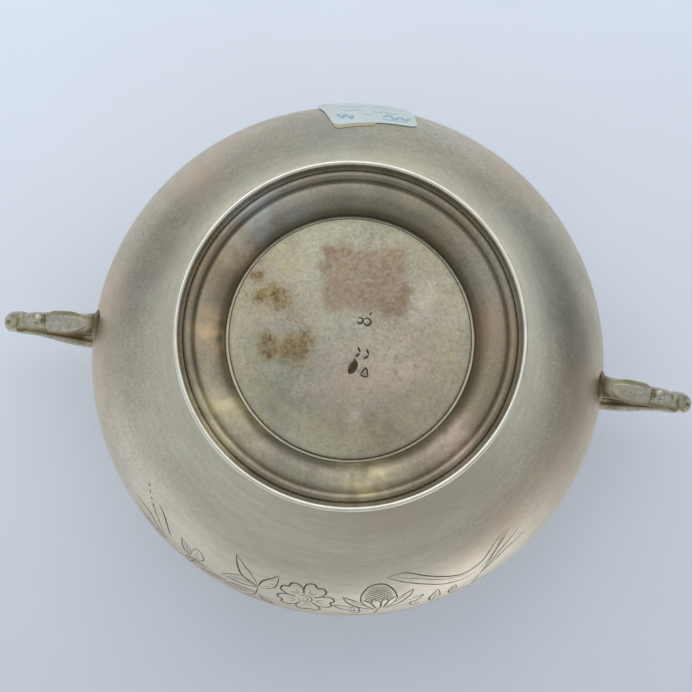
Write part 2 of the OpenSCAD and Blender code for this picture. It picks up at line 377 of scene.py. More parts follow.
def garland():
    """The engraved front. The first axis runs around the bowl towards +X, the second up the wall from its
    widest place, both in millimetres along the surface."""
    cuts = []
    # Sprig at the +X end
    cuts += dashes([(47, -18), (45, -16), (42.5, -13.6), (40.5, -11.2)])
    cuts += [cut([(47.5, -9.5), (45, -9.9), (42, -9.6), (37, -6)])]
    cuts += [cut([(42, -16), (39.6, -14.8), (37.4, -12.2), (35.4, -9)])]
    cuts += [cut([(44, -14.4), (41, -12.2), (38.2, -9), (36, -6)], 0.24)]
    cuts += leaf((36, -5.6), (45.6, -5.6), 2.4, 0.8)
    cuts += leaf((30, -7.8), (33.4, -13), 2.2, -0.4, veins=2)
    cuts += bud((28.2, -11.2), 2.8, 4.2, 25)
    cuts += leaf((31, -5), (25, -8), 2, 0.5, veins=2)
    # Leaves beside the flower
    cuts += leaf((13.4, -12), (22.2, -9.4), 3.4, -1, veins=4)
    cuts += leaf((13.5, -12.1), (20.6, -20.2), 2.6, 0.5, veins=0, rib=False)
    cuts += leaf((13.4, -12), (9.6, -18.8), 3, -0.5, veins=2, rib=False)
    cuts += petal_flower((2.9, -12.4), 6.4, 5, 100)
    cuts += leaf((21, -4.2), (13.6, -8.8), 2.6, 0.4, veins=4)
    cuts += leaf((27, -4.4), (20.4, -7.4), 2.2, -0.4, veins=3)
    cuts += leaf((9, -3.4), (12.8, -7.8), 1.8, 0.3, veins=2)
    cuts += bud((-20.8, -7.2), 1.8, 3.2, 200)
    # Bud and thistle
    cuts += bud((-8, -8), 1.9, 5, 5)
    cuts += thistle((-13.2, -10.4), 8.2, 8.6, 270)
    # Long leaves that sweep to the -X end
    cuts += [cut([(-15.2, -20.8), (-20, -21), (-25, -17.8), (-30, -14.4), (-33, -13), (-37.4, -13.8),
                  (-41, -16.6), (-45, -18.8)], 0.38)]
    cuts += [cut([(-15.2, -20.8), (-19.6, -18), (-24, -15.2), (-28, -12.4), (-32, -10.8), (-36, -11)], 0.32)]
    cuts += [cut([(-17.5, -20.2), (-23, -17.8), (-29, -14), (-34, -11.8)], 0.18)]
    cuts += blades((-36, -8.6), [(-46.6, -18), (-48.4, -15.6), (-49.2, -12.6)])
    cuts += [cut([(-36, -11), (-40, -13.6), (-45.6, -18.6)], 0.2)]
    cuts += leaf((-24.6, -4.6), (-26.4, -11.2), 2.4, 0, veins=2)
    cuts += leaf((-29, -5), (-30.4, -9.6), 1.8, 0.2, veins=0)
    # Stems along the widest place
    cuts += [cut([(45, 1.5), (38, -2.6), (30, -3.4), (22, -1), (14, -3.4), (8, -5)], 0.4)]
    cuts += [cut([(-3, -5.4), (-10, -3.2), (-18, -1), (-26, -3), (-34, -4.4), (-44, 0.5)], 0.4)]
    cuts += [cut([(-34, -4.4), (-36, -8.6)], 0.3), cut([(-13.2, -8.8), (-12, -4)], 0.3)]
    cuts += [cut([(13.4, -12), (13.8, -7), (16, -3)], 0.3), cut([(28.2, -9), (29, -5), (30, -3.4)], 0.26)]
    # Flowers and leaves above the widest place
    for side in (-1, 1):
        cuts += petal_flower((side * 24, 5.2), 4.8, 5, 60)
        cuts += leaf((side * 16, -0.8), (side * 11, 7), 2.8, side * 0.6)
        cuts += leaf((side * 18, -0.6), (side * 17.4, 9), 2.4, side * -0.5)
        cuts += leaf((side * 33, -2), (side * 35, 7.6), 2.8, side * 0.7)
        cuts += leaf((side * 37, -1.6), (side * 43.4, 6.6), 2.4, side * -0.6)
        cuts += bud((side * 29.8, 9.4), 2.2, 3.6, side * -20)
        cuts += [cut([(side * 28.2, 7.4), (side * 25, 0.4), (side * 22, -1)], 0.22)]
    cuts += petal_flower((0, 5.6), 5.2, 6, 90)
    cuts += leaf((3.6, 0), (8.4, 1.2), 2, 0.3, veins=2)
    cuts += leaf((-3.6, 0), (-8.4, 1.2), 2, -0.3, veins=2)
    return cuts


def cut_depth(points, cuts):
    """How deep the cuts are at each point, in millimetres: as deep as the cut's half width on its centre
    line, and nothing from its edge outwards."""
    deep = np.zeros(len(points))
    for path, half in cuts:
        reach = half.max()
        near = np.flatnonzero(np.all((points > path.min(0) - reach) & (points < path.max(0) + reach), 1))
        if not len(near):
            continue
        p = points[near][:, None]
        a, b = path[:-1][None], path[1:][None]
        ab = b - a
        u = np.clip(((p - a) * ab).sum(-1) / (ab ** 2).sum(-1), 0, 1)
        away = np.linalg.norm(p - a - u[..., None] * ab, axis=-1)
        wide = half[:-1] * (1 - u) + half[1:] * u
        deep[near] = np.maximum(deep[near], (wide - away).max(1))
    return np.maximum(deep, 0)


# A triangle whose middle is deeper than this, in millimetres, is part of a cut
CUT_SHOWS = 0.004
# Room kept clear of other points around the middle of a cut
CUT_ROOM = 0.4


def cut_field(edge, inner, cuts):
    """Triangulates a flat field so that each cut has its own edges and floor line. Returns its points,
    which start with those of the edge, its triangles, each point's depth, and which triangles are cut."""
    points, joins = [edge], [(i, (i + 1) % len(edge)) for i in range(len(edge))]
    clear = cut_depth(inner, [(path, np.full(len(path), CUT_ROOM)) for path, _ in cuts]) == 0
    points.append(inner[clear])
    count = len(edge) + clear.sum()
    for path, half in cuts:
        side = sideways(path)
        first, last, n = count, count + len(path) - 1, len(path)
        lines = [list(range(first, last + 1))]
        points.append(path)
        count += n
        for sign in (-1, 1):
            points.append((path + sign * side * half[:, None])[1:-1])
            lines.append([first, *range(count, count + n - 2), last])
            count += n - 2
        for line in lines:
            joins += list(zip(line, line[1:]))
    flat = np.vstack(points)
    made, _, triangles, source, _, _ = delaunay_2d_cdt([Vector(p) for p in flat], joins, [], 0, 1e-5)
    made = np.array([tuple(p) for p in made])
    order = np.full(len(made), -1)
    for new, old in enumerate(source):
        known = [k for k in old if k < len(edge)]
        if known:
            order[new] = known[0]
    loose = order < 0
    order[loose] = len(edge) + np.arange(loose.sum())
    place_of = np.empty_like(made)
    place_of[order] = made
    triangles = order[np.array(triangles)]
    in_cut = cut_depth(place_of[triangles].mean(1), cuts) > CUT_SHOWS
    return place_of, triangles, cut_depth(place_of, cuts), in_cut


# ---------------------------------------------------------------- materials

class Tree:
    """Short names for building the node tree of a material or of the world."""

    def __init__(self, name, world=False):
        self.owner = (bpy.data.worlds if world else bpy.data.materials).new(name)
        self.owner.use_nodes = True
        self.nodes, self.links = self.owner.node_tree.nodes, self.owner.node_tree.links
        self.nodes.clear()
        self.out = self.nodes.new("ShaderNodeOutputWorld" if world else "ShaderNodeOutputMaterial")
        self.where = self.nodes.new("ShaderNodeTexCoord").outputs["Generated" if world else "Object"]

    def join(self, source, target):
        if isinstance(source, (int, float)):
            target.default_value = source
        elif isinstance(source, (tuple, list)):
            target.default_value = (*source, 1) if len(target.default_value) == 4 else source
        else:
            self.links.new(source, target)

    def math(self, operation, a, b=0.0, c=0.0, clamp=False):
        node = self.nodes.new("ShaderNodeMath")
        node.operation, node.use_clamp = operation, clamp
        for value, target in zip((a, b, c), node.inputs):
            self.join(value, target)
        return node.outputs[0]

    def times(self, a, b):
        return self.math("MULTIPLY", a, b)

    def plus(self, a, b):
        return self.math("ADD", a, b)

    def minus(self, a, b):
        return self.math("SUBTRACT", a, b)

    def clip(self, a):
        """a, kept between 0 and 1."""
        return self.math("MINIMUM", self.math("MAXIMUM", a, 0.0), 1.0)

    def vector(self, operation, a, b=(0.0, 0.0, 0.0)):
        node = self.nodes.new("ShaderNodeVectorMath")
        node.operation = operation
        self.join(a, node.inputs[0])
        self.join(b, node.inputs[1])
        return node.outputs["Value" if operation in ("LENGTH", "DOT_PRODUCT", "DISTANCE") else "Vector"]

    def split(self, a):
        node = self.nodes.new("ShaderNodeSeparateXYZ")
        self.join(a, node.inputs[0])
        return node.outputs

    def combine(self, x, y, z):
        node = self.nodes.new("ShaderNodeCombineXYZ")
        for value, target in zip((x, y, z), node.inputs):
            self.join(value, target)
        return node.outputs[0]

    def position(self):
        """x, y, z and the distance from the bowl's axis."""
        x, y, z = self.split(self.where)
        return x, y, z, self.vector("LENGTH", self.combine(x, y, 0.0))

    def noise(self, size_mm, where=None, detail=4.0, rough=0.55, offset=(0, 0, 0)):
        """Noise from 0 to 1 whose features are about size_mm across."""
        node = self.nodes.new("ShaderNodeTexNoise")
        node.inputs["Scale"].default_value = 1 / (size_mm * MM)
        node.inputs["Detail"].default_value = detail
        node.inputs["Roughness"].default_value = rough
        self.join(self.vector("ADD", where or self.where, offset), node.inputs["Vector"])
        return node.outputs["Fac"]

    def ramp(self, value, *stops):
        """A colour or a grey for each value; stops are (place, colour or number)."""
        node = self.nodes.new("ShaderNodeValToRGB")
        for _ in range(len(stops) - 2):
            node.color_ramp.elements.new(0.5)
        for element, (at, tone) in zip(node.color_ramp.elements, stops):
            element.position = at
            element.color = (*tone, 1) if isinstance(tone, tuple) else (tone, tone, tone, 1)
        self.join(value, node.inputs[0])
        return node.outputs[0]

    def mix(self, amount, a, b, blend="MIX"):
        node = self.nodes.new("ShaderNodeMix")
        node.data_type, node.blend_type = "RGBA", blend
        self.join(amount, node.inputs[0])
        self.join(a, node.inputs[6])
        self.join(b, node.inputs[7])
        return node.outputs[2]

    def shade(self, colour, amount):
        """The colour made darker: 1 leaves it as it is, and 0 is black."""
        return self.mix(1.0, colour, amount, "MULTIPLY")

    def spots(self, colour, table):
        """Soft patches over a colour. A row is a patch's centre and reach in millimetres, tint and amount."""
        for centre, reach, tint, amount in table:
            colour = self.mix(spot(self, centre, reach, amount), colour, tint)
        return colour

    def bump(self, height, strength, distance_mm=0.1, below=None):
        node = self.nodes.new("ShaderNodeBump")
        node.inputs["Strength"].default_value = strength
        node.inputs["Distance"].default_value = distance_mm * MM
        self.join(height, node.inputs["Height"])
        if below is not None:
            self.join(below, node.inputs["Normal"])
        return node.outputs[0]

    def attribute(self, name):
        node = self.nodes.new("ShaderNodeAttribute")
        node.attribute_name = name
        return node.outputs["Fac"]

    def metal(self, colour, roughness, normal, metallic=1.0):
        shader = self.nodes.new("ShaderNodeBsdfPrincipled")
        shader.inputs["Metallic"].default_value = metallic
        self.join(colour, shader.inputs["Base Color"])
        self.join(roughness, shader.inputs["Roughness"])
        if normal is not None:
            self.join(normal, shader.inputs["Normal"])
        self.links.new(shader.outputs[0], self.out.inputs["Surface"])
        return self.owner

    def choose(self, amount, first, second):
        """Shows the first shader where amount is 0 and the second where it is 1."""
        node = self.nodes.new("ShaderNodeMixShader")
        self.join(amount, node.inputs[0])
        self.links.new(first.outputs[0], node.inputs[1])
        self.links.new(second.outputs[0], node.inputs[2])
        self.links.new(node.outputs[0], self.out.inputs["Surface"])


def spun_lines(tree, stretch=30.0, size_mm=0.25):
    """Fine lines that run around the bowl, left by spinning it."""
    x, y, z, radius = tree.position()
    along = tree.times(tree.math("ARCTAN2", x, tree.times(y, -1.0)), BELLY_R * MM)
    where = tree.combine(tree.math("DIVIDE", along, stretch), tree.plus(z, radius), tree.minus(radius, z))
    return tree.noise(size_mm, where, detail=3.0, rough=0.6)


WARM_SILVER = (0.80, 0.78, 0.64)
GREY_SILVER = (0.77, 0.78, 0.70)
GREEN_SILVER = (0.73, 0.75, 0.615)
PINK_TARNISH = (0.56, 0.44, 0.33)
OLIVE_TARNISH = (0.56, 0.54, 0.34)
BLUE_TARNISH = (0.44, 0.49, 0.47)
BROWN_TARNISH = (0.33, 0.26, 0.165)
DARK_PATINA = (0.10, 0.088, 0.06)


def tarnished(tree, tone=WARM_SILVER, pink=0.45, olive=0.3, blue=0.2):
    """Silver with broad soft patches of tarnish."""
    colour = tree.mix(tree.ramp(tree.noise(38, detail=3), (0.35, 0.0), (0.7, 1.0)), tone, GREY_SILVER)
    patches = ((PINK_TARNISH, pink, 26, (0.3, 0.1, 0.7)), (OLIVE_TARNISH, olive, 20, (0.9, 0.4, 0.2)),
               (BLUE_TARNISH, blue, 30, (0.5, 0.8, 0.1)))
    for tint, amount, size, offset in patches:
        mask = tree.ramp(tree.noise(size, detail=5, offset=offset), (0.42, 0.0), (0.72, amount))
        colour = tree.mix(mask, colour, tint)
    blotch = tree.ramp(tree.noise(7, detail=8, rough=0.68, offset=(0.2, 0.6, 0.9)), (0.34, 0.86), (0.64, 1.0))
    colour = tree.shade(colour, blotch)
    specks = tree.ramp(tree.noise(0.7, detail=4, rough=0.75), (0.34, 0.66), (0.6, 1.0))
    return tree.shade(colour, specks)


def spot(tree, centre, reach, amount):
    """A soft patch around a place in millimetres, broken up by noise."""
    away = tree.vector("DISTANCE", tree.where, tuple(v * MM for v in centre))
    near = tree.ramp(tree.math("DIVIDE", away, reach * MM), (0.25, 1.0), (1.0, 0.0))
    patchy = tree.noise(reach * 0.45, detail=6, rough=0.62, offset=(reach, 0, 0))
    broken = tree.ramp(patchy, (0.36, 0.1), (0.6, 1.0))
    return tree.times(tree.times(near, broken), amount)


ROSY, STRAW = (0.70, 0.57, 0.455), (0.74, 0.69, 0.49)
BOWL_SPOTS = (
    ((-49.6, -3, 19), 10, ROSY, 1.0), ((-46, -17, 19), 11, ROSY, 1.0), ((-39, -30, 19), 12, ROSY, 0.9),
    ((-30, -40, 22), 10, ROSY, 0.7), ((-20, -46, 24), 9, BROWN_TARNISH, 0.25), ((52, 4, 27), 12, ROSY, 0.6),
    ((37, 32, 19), 12, ROSY, 0.9), ((30, 42, 26), 11, ROSY, 0.7), ((-30, 42, 27), 13, ROSY, 0.8),
    ((-53, 10, 30), 9, BLUE_TARNISH, 0.5), ((-43, 14, 18), 15, BLUE_TARNISH, 0.6),
    ((-36, 26, 17), 12, BLUE_TARNISH, 0.5), ((8, 44, 16), 13, BLUE_TARNISH, 0.4),
    ((40, -22, 14), 12, STRAW, 0.25), ((12, -44, 14), 14, STRAW, 0.35), ((-8, 40, 12), 10, STRAW, 0.5),
)


def bowl_silver():
    tree = Tree("bowl_silver")
    x, y, _, radius = tree.position()
    colour = tarnished(tree, pink=0.42, olive=0.4, blue=0.3)
    shoulder = tree.times(tree.ramp(radius, (0.036, 1.0), (0.046, 0.0)), 0.7)
    colour = tree.mix(shoulder, colour, GREEN_SILVER)
    front = tree.ramp(tree.times(y, -1.0), (0.022, 0.0), (0.05, 0.75))
    colour = tree.mix(front, colour, (0.79, 0.745, 0.65))
    belly = tree.times(tree.ramp(tree.math("ABSOLUTE", x), (0.044, 0.0), (0.055, 1.0)),
                       tree.ramp(tree.noise(11, detail=5), (0.35, 0.15), (0.6, 0.7)))
    colour = tree.mix(belly, colour, PINK_TARNISH)
    colour = tree.spots(colour, BOWL_SPOTS)
    # Painted shadow of the foot on the bowl beside it, on the -Y side and mostly towards -X, laid on in
    # tarnish brown.
    painted_foot_shadow = tree.times(tree.ramp(radius, (0.0385, 0.42), (0.0432, 0.0)),
                             tree.ramp(tree.times(y, -1.0), (0.012, 0.0), (0.03, 1.0)))
    painted_shadow_side = tree.ramp(tree.plus(x, 0.02), (0.012, 1.0), (0.036, 0.0))
    colour = tree.mix(tree.times(painted_foot_shadow, painted_shadow_side), colour, BROWN_TARNISH)
    lines = spun_lines(tree)
    grain = tree.noise(0.16, detail=2, rough=0.7)
    colour = tree.mix(tree.ramp(lines, (0.35, 0.26), (0.65, 0.0)), colour, (0.42, 0.39, 0.30))
    streaks = spun_lines(tree, 9.0, 1.6)
    colour = tree.mix(tree.ramp(streaks, (0.36, 0.3), (0.6, 0.0)), colour, (0.50, 0.45, 0.34))
    roughness = tree.ramp(tree.noise(5, detail=6, rough=0.65), (0.3, 0.25), (0.7, 0.40))
    normal = tree.bump(tree.noise(14, detail=2), 0.35, 0.25)
    normal = tree.bump(lines, 0.25, 0.05, normal)
    normal = tree.bump(grain, 0.3, 0.045, normal)
    return tree.metal(colour, roughness, normal)


def groove_silver(name, deep, worn):
    """The floor of an engraved or punched mark, darkened by old tarnish."""
    tree = Tree(name)
    colour = tree.ramp(tree.noise(1.2, detail=4), (0.3, deep), (0.7, worn))
    return tree.metal(colour, 0.5, tree.bump(tree.noise(0.2), 0.3, 0.05))


FOOT_SPOTS = (
    ((20, 22, 2), 11, (0.36, 0.40, 0.40), 0.8), ((-4, 30, 3), 15, (0.20, 0.20, 0.17), 0.8),
    ((-22, -19, 3), 8, (0.62, 0.46, 0.40), 0.8), ((-29, 4, 3), 10, (0.42, 0.29, 0.19), 0.7),
    ((22, -19, 3), 13, (0.66, 0.60, 0.38), 0.9), ((28, 8, 3), 10, BROWN_TARNISH, 0.6),
    ((27, -3, 3), 7, (0.66, 0.50, 0.30), 0.9), ((23, 13, 3), 6, (0.62, 0.50, 0.34), 0.7),
    ((-6, -28, 3), 10, (0.66, 0.60, 0.37), 0.8),
)
# How much painted shade and grime lies on the foot at each distance from the axis, in metres, from its neck
# to its wire: shade is painted into the neck's recess and the gaps beside the bead
FOOT_SHADE_AND_GRIME = (
    (FOOT_NECK_R * MM, 1.0), (0.0272, 0.7), (0.0290, 0.15), (0.0306, 0.2), (0.0315, 0.75), (0.0321, 0.1),
    (0.0329, 0.3), (0.0335, 0.85), (0.0339, 0.55), (0.0342, 0.1), (0.0348, 0.25), (0.0352, 0.95),
)


def foot_silver():
    tree = Tree("foot_silver")
    radius = tree.position()[3]
    colour = tarnished(tree, (0.56, 0.495, 0.34), 0.45, 0.65, 0.4)
    # Painted shade, in a grime brown, in the foot's recesses and grooves.
    hollow = tree.ramp(radius, *FOOT_SHADE_AND_GRIME)
    colour = tree.mix(tree.times(hollow, 0.9), colour, (0.15, 0.12, 0.08))
    colour = tree.spots(colour, FOOT_SPOTS)
    lines = spun_lines(tree)
    normal = tree.bump(lines, 0.25, 0.05)
    roughness = tree.ramp(tree.noise(5, detail=5), (0.3, 0.38), (0.7, 0.52))
    return tree.metal(colour, roughness, normal)


def wire_silver():
    """Bright where it is rubbed, dark on the inner side of the foot band."""
    tree = Tree("wire_silver")
    _, _, z, radius = tree.position()
    colour = tree.mix(tree.ramp(tree.noise(5, detail=5), (0.42, 0.0), (0.75, 0.55)), (0.87, 0.865, 0.775),
                      (0.60, 0.56, 0.44))
    inner = tree.times(tree.ramp(radius, (0.03478, 1.0), (0.03495, 0.0)),
                       tree.ramp(z, (0.004, 1.0), (0.005, 0.0)))
    colour = tree.mix(inner, colour, (0.10, 0.09, 0.065))
    normal = tree.bump(tree.noise(1.6, detail=3), 0.2, 0.08)
    return tree.metal(colour, tree.ramp(tree.noise(3), (0.3, 0.2), (0.7, 0.32)), normal)


def patch_mask(tree, centre, half, edge_mm, turn_degrees, ragged_mm, seed):
    """1 inside a ragged rectangle on the base disc, 0 outside."""
    shift = (-centre[0] * MM, -centre[1] * MM, 0.0)
    rotate = tree.nodes.new("ShaderNodeVectorRotate")
    rotate.rotation_type = "Z_AXIS"
    rotate.inputs["Angle"].default_value = math.radians(turn_degrees)
    tree.join(tree.vector("ADD", tree.where, shift), rotate.inputs["Vector"])
    x, y, _ = tree.split(rotate.outputs[0])
    sides = []
    for value, reach, offset in ((x, half[0], 0.31), (y, half[1], 0.77)):
        wander = tree.math("MULTIPLY_ADD", tree.noise(2.6, detail=5, rough=0.65, offset=(offset, seed, 0)),
                           ragged_mm * MM, -0.5 * ragged_mm * MM)
        inside = tree.minus(reach * MM, tree.math("ABSOLUTE", value))
        sides.append(tree.plus(inside, wander))
    depth = tree.math("MINIMUM", *sides)
    return tree.math("DIVIDE", depth, edge_mm * MM, clamp=True)


def ragged(tree, places, reach_mm, seed):
    """1 near these places on the base disc and 0 away from them, with a ragged, spattered edge."""
    depth = 0.0
    for x, y in places:
        flat = tree.vector("MULTIPLY", tree.where, (1.0, 1.0, 0.0))
        away = tree.vector("DISTANCE", flat, (x * MM, y * MM, 0.0))
        depth = tree.math("MAXIMUM", tree.minus(1.0, tree.math("DIVIDE", away, reach_mm * MM)), depth)
    specks = tree.noise(1.5, detail=9, rough=0.85, offset=(seed, seed, 0))
    spatter = tree.math("MULTIPLY_ADD", specks, 3.4, -1.9)
    return tree.ramp(tree.plus(depth, spatter), (0.0, 0.0), (0.55, 1.0))


DISC_CLOUDS = (
    ((12, -11, 5), 14, (0.235, 0.26, 0.25), 1.0), ((17, -5, 5), 7, (0.34, 0.36, 0.33), 0.8),
    ((-1, -11, 5), 12, (0.60, 0.47, 0.37), 0.9), ((-13, -3, 5), 9, (0.62, 0.52, 0.41), 0.8),
    ((-9, -19, 5), 9, (0.27, 0.25, 0.20), 0.9), ((1, -19, 5), 9, (0.36, 0.34, 0.27), 0.8),
    ((-15, -12, 5), 8, (0.38, 0.34, 0.27), 0.8), ((-8, -3, 5), 9, (0.70, 0.60, 0.50), 0.9),
    ((-17, 9, 5), 9, (0.69, 0.645, 0.53), 0.9), ((10, 15, 5), 12, (0.60, 0.60, 0.44), 0.8),
    ((3, 4, 5), 9, (0.62, 0.60, 0.49), 0.6), ((-3, -9, 5), 8, (0.57, 0.49, 0.40), 0.6),
)
# Brown stains and olive drips: the places each covers in millimetres, its reach, and a stain's amount
DISC_STAINS = (
    (((-9.2, 6.4), (-10.2, 11.0), (-9.8, 8.8), (-7.0, 6.4)), 2.6, 0.6),
    (((6.6, 17.2), (3.5, 18.4), (7.0, 14.2)), 2.6, 0.45),
)
DISC_DRIPS = (
    (((16.4, 7.1), (15.6, 6.2)), 3.4), (((20.0, 10.2), (19.2, 6.2)), 2.1),
    (((11.6, -2.6), (9.4, -2.2), (10.4, -4.6), (12.4, -4.2)), 3.6), (((16.6, -2.8), (16.2, -5.0)), 2.9),
)


def disc_silver():
    """The base disc: frosted silver, with brown and olive stains and two pale spots on its underside."""
    tree = Tree("disc_silver")
    _, y, z, radius = tree.position()
    colour = inside = tarnished(tree, (0.53, 0.49, 0.40), 0.5, 0.35, 0.35)
    colour = tree.spots(colour, DISC_CLOUDS)
    lower = tree.ramp(tree.times(y, -1.0), (-0.004, 0.0), (0.020, 0.28))
    colour = tree.mix(lower, colour, (0.20, 0.19, 0.13))
    rim = tree.ramp(radius, (0.0175, 0.0), (0.0216, 0.7), (0.0236, 0.3), (0.0246, 0.8))
    colour = tree.mix(tree.times(rim, tree.ramp(tree.noise(7, detail=5), (0.36, 0.15), (0.58, 1.0))),
                      colour, (0.60, 0.575, 0.315))
    edge = tree.ramp(radius, (0.0238, 0.0), (0.0245, 0.5))
    colour = tree.mix(edge, colour, (0.12, 0.10, 0.07))
    speckle = tree.noise(0.5, detail=4, rough=0.75)
    grain = tree.ramp(tree.noise(0.6, detail=4, rough=0.8, offset=(0.5, 0.5, 0)), (0.34, 0.82), (0.6, 1.0))
    colour = tree.shade(colour, grain)
    grit = tree.ramp(tree.noise(0.9, detail=6, rough=0.85), (0.38, 0.12), (0.58, 1.0))
    glued = patch_mask(tree, (-1.5, 12.4), (9.2, 7.2), 1.6, 7.0, 4.6, 0.1)
    worn = tree.ramp(tree.noise(4.5, detail=9, rough=0.8, offset=(0.1, 0, 0.3)), (0.36, 0.5), (0.56, 1.0))
    colour = tree.mix(tree.times(tree.times(glued, worn), 0.3), colour, (0.38, 0.26, 0.18))
    darker = tree.times(tree.times(glued, worn), tree.times(grit, 0.85))
    colour = tree.mix(darker, colour, (0.29, 0.18, 0.105))
    for places, reach, amount in DISC_STAINS:
        stain = tree.times(ragged(tree, places, reach, 0.2), amount)
        colour = tree.mix(stain, colour, (0.22, 0.135, 0.075))
    for seed, (places, reach) in enumerate(DISC_DRIPS):
        halo = ragged(tree, places, reach * 1.25, 0.3 + seed)
        core = ragged(tree, places, reach, 0.6 + seed)
        colour = tree.mix(tree.times(halo, 0.6), colour, (0.42, 0.32, 0.11))
        colour = tree.mix(tree.times(tree.times(core, grit), 0.95), colour, (0.12, 0.07, 0.02))
    for centre, size in (((3.9, -13.6), 0.9), ((-2.8, -15.6), 1.6)):
        pale = patch_mask(tree, centre, (size, size), 1.5, 0.0, 3.4, 0.9)
        colour = tree.mix(tree.times(pale, 0.5), colour, (0.62, 0.65, 0.59))
    below = tree.math("LESS_THAN", z, (BOTTOM_Z - 0.1) * MM)
    colour = tree.mix(below, tree.mix(0.4, inside, GREY_SILVER), colour)
    lines = spun_lines(tree, 14, 0.35)
    normal = tree.bump(speckle, 0.5, 0.06)
    normal = tree.bump(lines, 0.12, 0.05, normal)
    streaks = spun_lines(tree, 6.0, 1.1)
    colour = tree.mix(tree.ramp(streaks, (0.36, 0.3), (0.6, 0.0)), colour, (0.36, 0.34, 0.27))
    return tree.metal(colour, tree.ramp(tree.noise(6), (0.3, 0.40), (0.7, 0.50)), normal)


def cast_silver():
    """Cast handles: bright where fingers rub, dark with patina in the hollows and with painted shade, which
    the mesh marks in "hollow".
    """
    tree = Tree("handle_silver")
    colour = tarnished(tree, (0.76, 0.75, 0.65), 0.3, 0.4, 0.2)
    grime = tree.ramp(tree.noise(1.6, detail=6, rough=0.65), (0.40, 0.0), (0.62, 0.45))
    colour = tree.mix(grime, colour, (0.33, 0.30, 0.19))
    # The "hollow" attribute holds patina and painted shade: lower values tint olive, higher ones paint dark
    # brown.
    hollow = tree.attribute("hollow")
    colour = tree.mix(tree.ramp(hollow, (0.1, 0.0), (0.45, 0.85)), colour, (0.40, 0.385, 0.215))
    colour = tree.mix(tree.ramp(hollow, (0.4, 0.0), (0.85, 0.94)), colour, (0.145, 0.105, 0.065))
    normal = tree.bump(tree.noise(1.1, detail=5), 0.5, 0.2)
    roughness = tree.ramp(tree.noise(2, detail=4), (0.3, 0.28), (0.7, 0.42))
    return tree.metal(colour, roughness, normal)


def paper():
    tree = Tree("label_paper")
    fibres = tree.noise(0.5, detail=6, rough=0.7)
    colour = tree.mix(tree.ramp(fibres, (0.3, 0.0), (0.7, 0.25)), (0.73, 0.85, 0.88), (0.64, 0.73, 0.71))
    colour = tree.mix(tree.ramp(tree.noise(7), (0.5, 0.0), (0.7, 0.35)), colour, (0.62, 0.63, 0.52))
    return tree.metal(colour, 0.75, tree.bump(fibres, 0.25, 0.05), 0.0)


def old_paper():
    tree = Tree("old_paper")
    fibres = tree.noise(0.6, detail=6, rough=0.7)
    colour = tree.mix(fibres, (0.50, 0.45, 0.31), (0.60, 0.55, 0.41))
    return tree.metal(colour, 0.8, tree.bump(fibres, 0.3, 0.05), 0.0)


def ink():
    tree = Tree("label_ink")
    colour = tree.mix(tree.noise(0.8), (0.27, 0.53, 0.76), (0.42, 0.66, 0.82))
    return tree.metal(colour, 0.6, None, 0.0)


BOWL_SILVER, FOOT_SILVER = bowl_silver(), foot_silver()
GROOVE_SILVER = groove_silver("groove_silver", (0.17, 0.145, 0.10), (0.34, 0.30, 0.23))
PUNCH_SILVER = groove_silver("punch_silver", DARK_PATINA, (0.20, 0.17, 0.12))
WIRE_SILVER, DISC_SILVER, CAST_SILVER = wire_silver(), disc_silver(), cast_silver()
PAPER, OLD_PAPER, INK = paper(), old_paper(), ink()


# ---------------------------------------------------------------- bowl

ARC_STEP = 2.25
COLUMNS = 240
PATCH_COLUMNS = 38
PATCH_LOW, PATCH_HIGH = -49.5, 36.0
LOWER_CENTRE = (BELLY_R - LOWER_R, BELLY_Z)
UPPER_CENTRE = (BELLY_R - UPPER_R, BELLY_Z)
NECK_CENTRE = tuple(arc(UPPER_CENTRE, UPPER_R + NECK_R, NECK_ANGLE, NECK_ANGLE, 1)[0])


def bowl_outline(inset):
    """The bowl's section from the base hole to the mouth, moved inwards by inset."""
    neck_r = NECK_R + inset
    top = 180 - math.degrees(math.asin((RIM_Z - NECK_CENTRE[1]) / neck_r))
    return np.vstack([
        [(HOLE_R, BOTTOM_Z + inset)],
        arc(LOWER_CENTRE, LOWER_R - inset, -90, 0, round(90 / ARC_STEP)),
        arc(UPPER_CENTRE, UPPER_R - inset, 0, NECK_ANGLE, round(NECK_ANGLE / ARC_STEP))[1:],
        arc(NECK_CENTRE, neck_r, 180 + NECK_ANGLE, top, 14)[1:],
    ])


def on_bowl(around_mm, up_mm, out_mm=0.0):
    """Points and normals on the bowl's outside, out_mm above it, from distances along its surface."""
    around_mm, up_mm = np.asarray(around_mm, float), np.asarray(up_mm, float)
    turn_angle = around_mm / BELLY_R
    radius = np.where(up_mm < 0, LOWER_R, UPPER_R)
    tilt = up_mm / radius
    level, rise = np.cos(tilt), np.sin(tilt)
    x_part, y_part = np.sin(turn_angle), -np.cos(turn_angle)
    r = BELLY_R - radius + (radius + out_mm) * level
    z = BELLY_Z + (radius + out_mm) * rise
    return np.stack([r * x_part, r * y_part, z], -1), np.stack([level * x_part, level * y_part, rise], -1)


def section_normals(outline):
    """The outward normal in (r, z) at each point of a closed section that runs up its outside."""
    ahead = np.roll(outline, -1, 0) - outline
    behind = outline - np.roll(outline, 1, 0)
    mean = (ahead / np.linalg.norm(ahead, axis=1)[:, None] + behind / np.linalg.norm(behind, axis=1)[:, None])
    normal = np.column_stack([mean[:, 1], -mean[:, 0]])
    return normal / np.linalg.norm(normal, axis=1)[:, None]


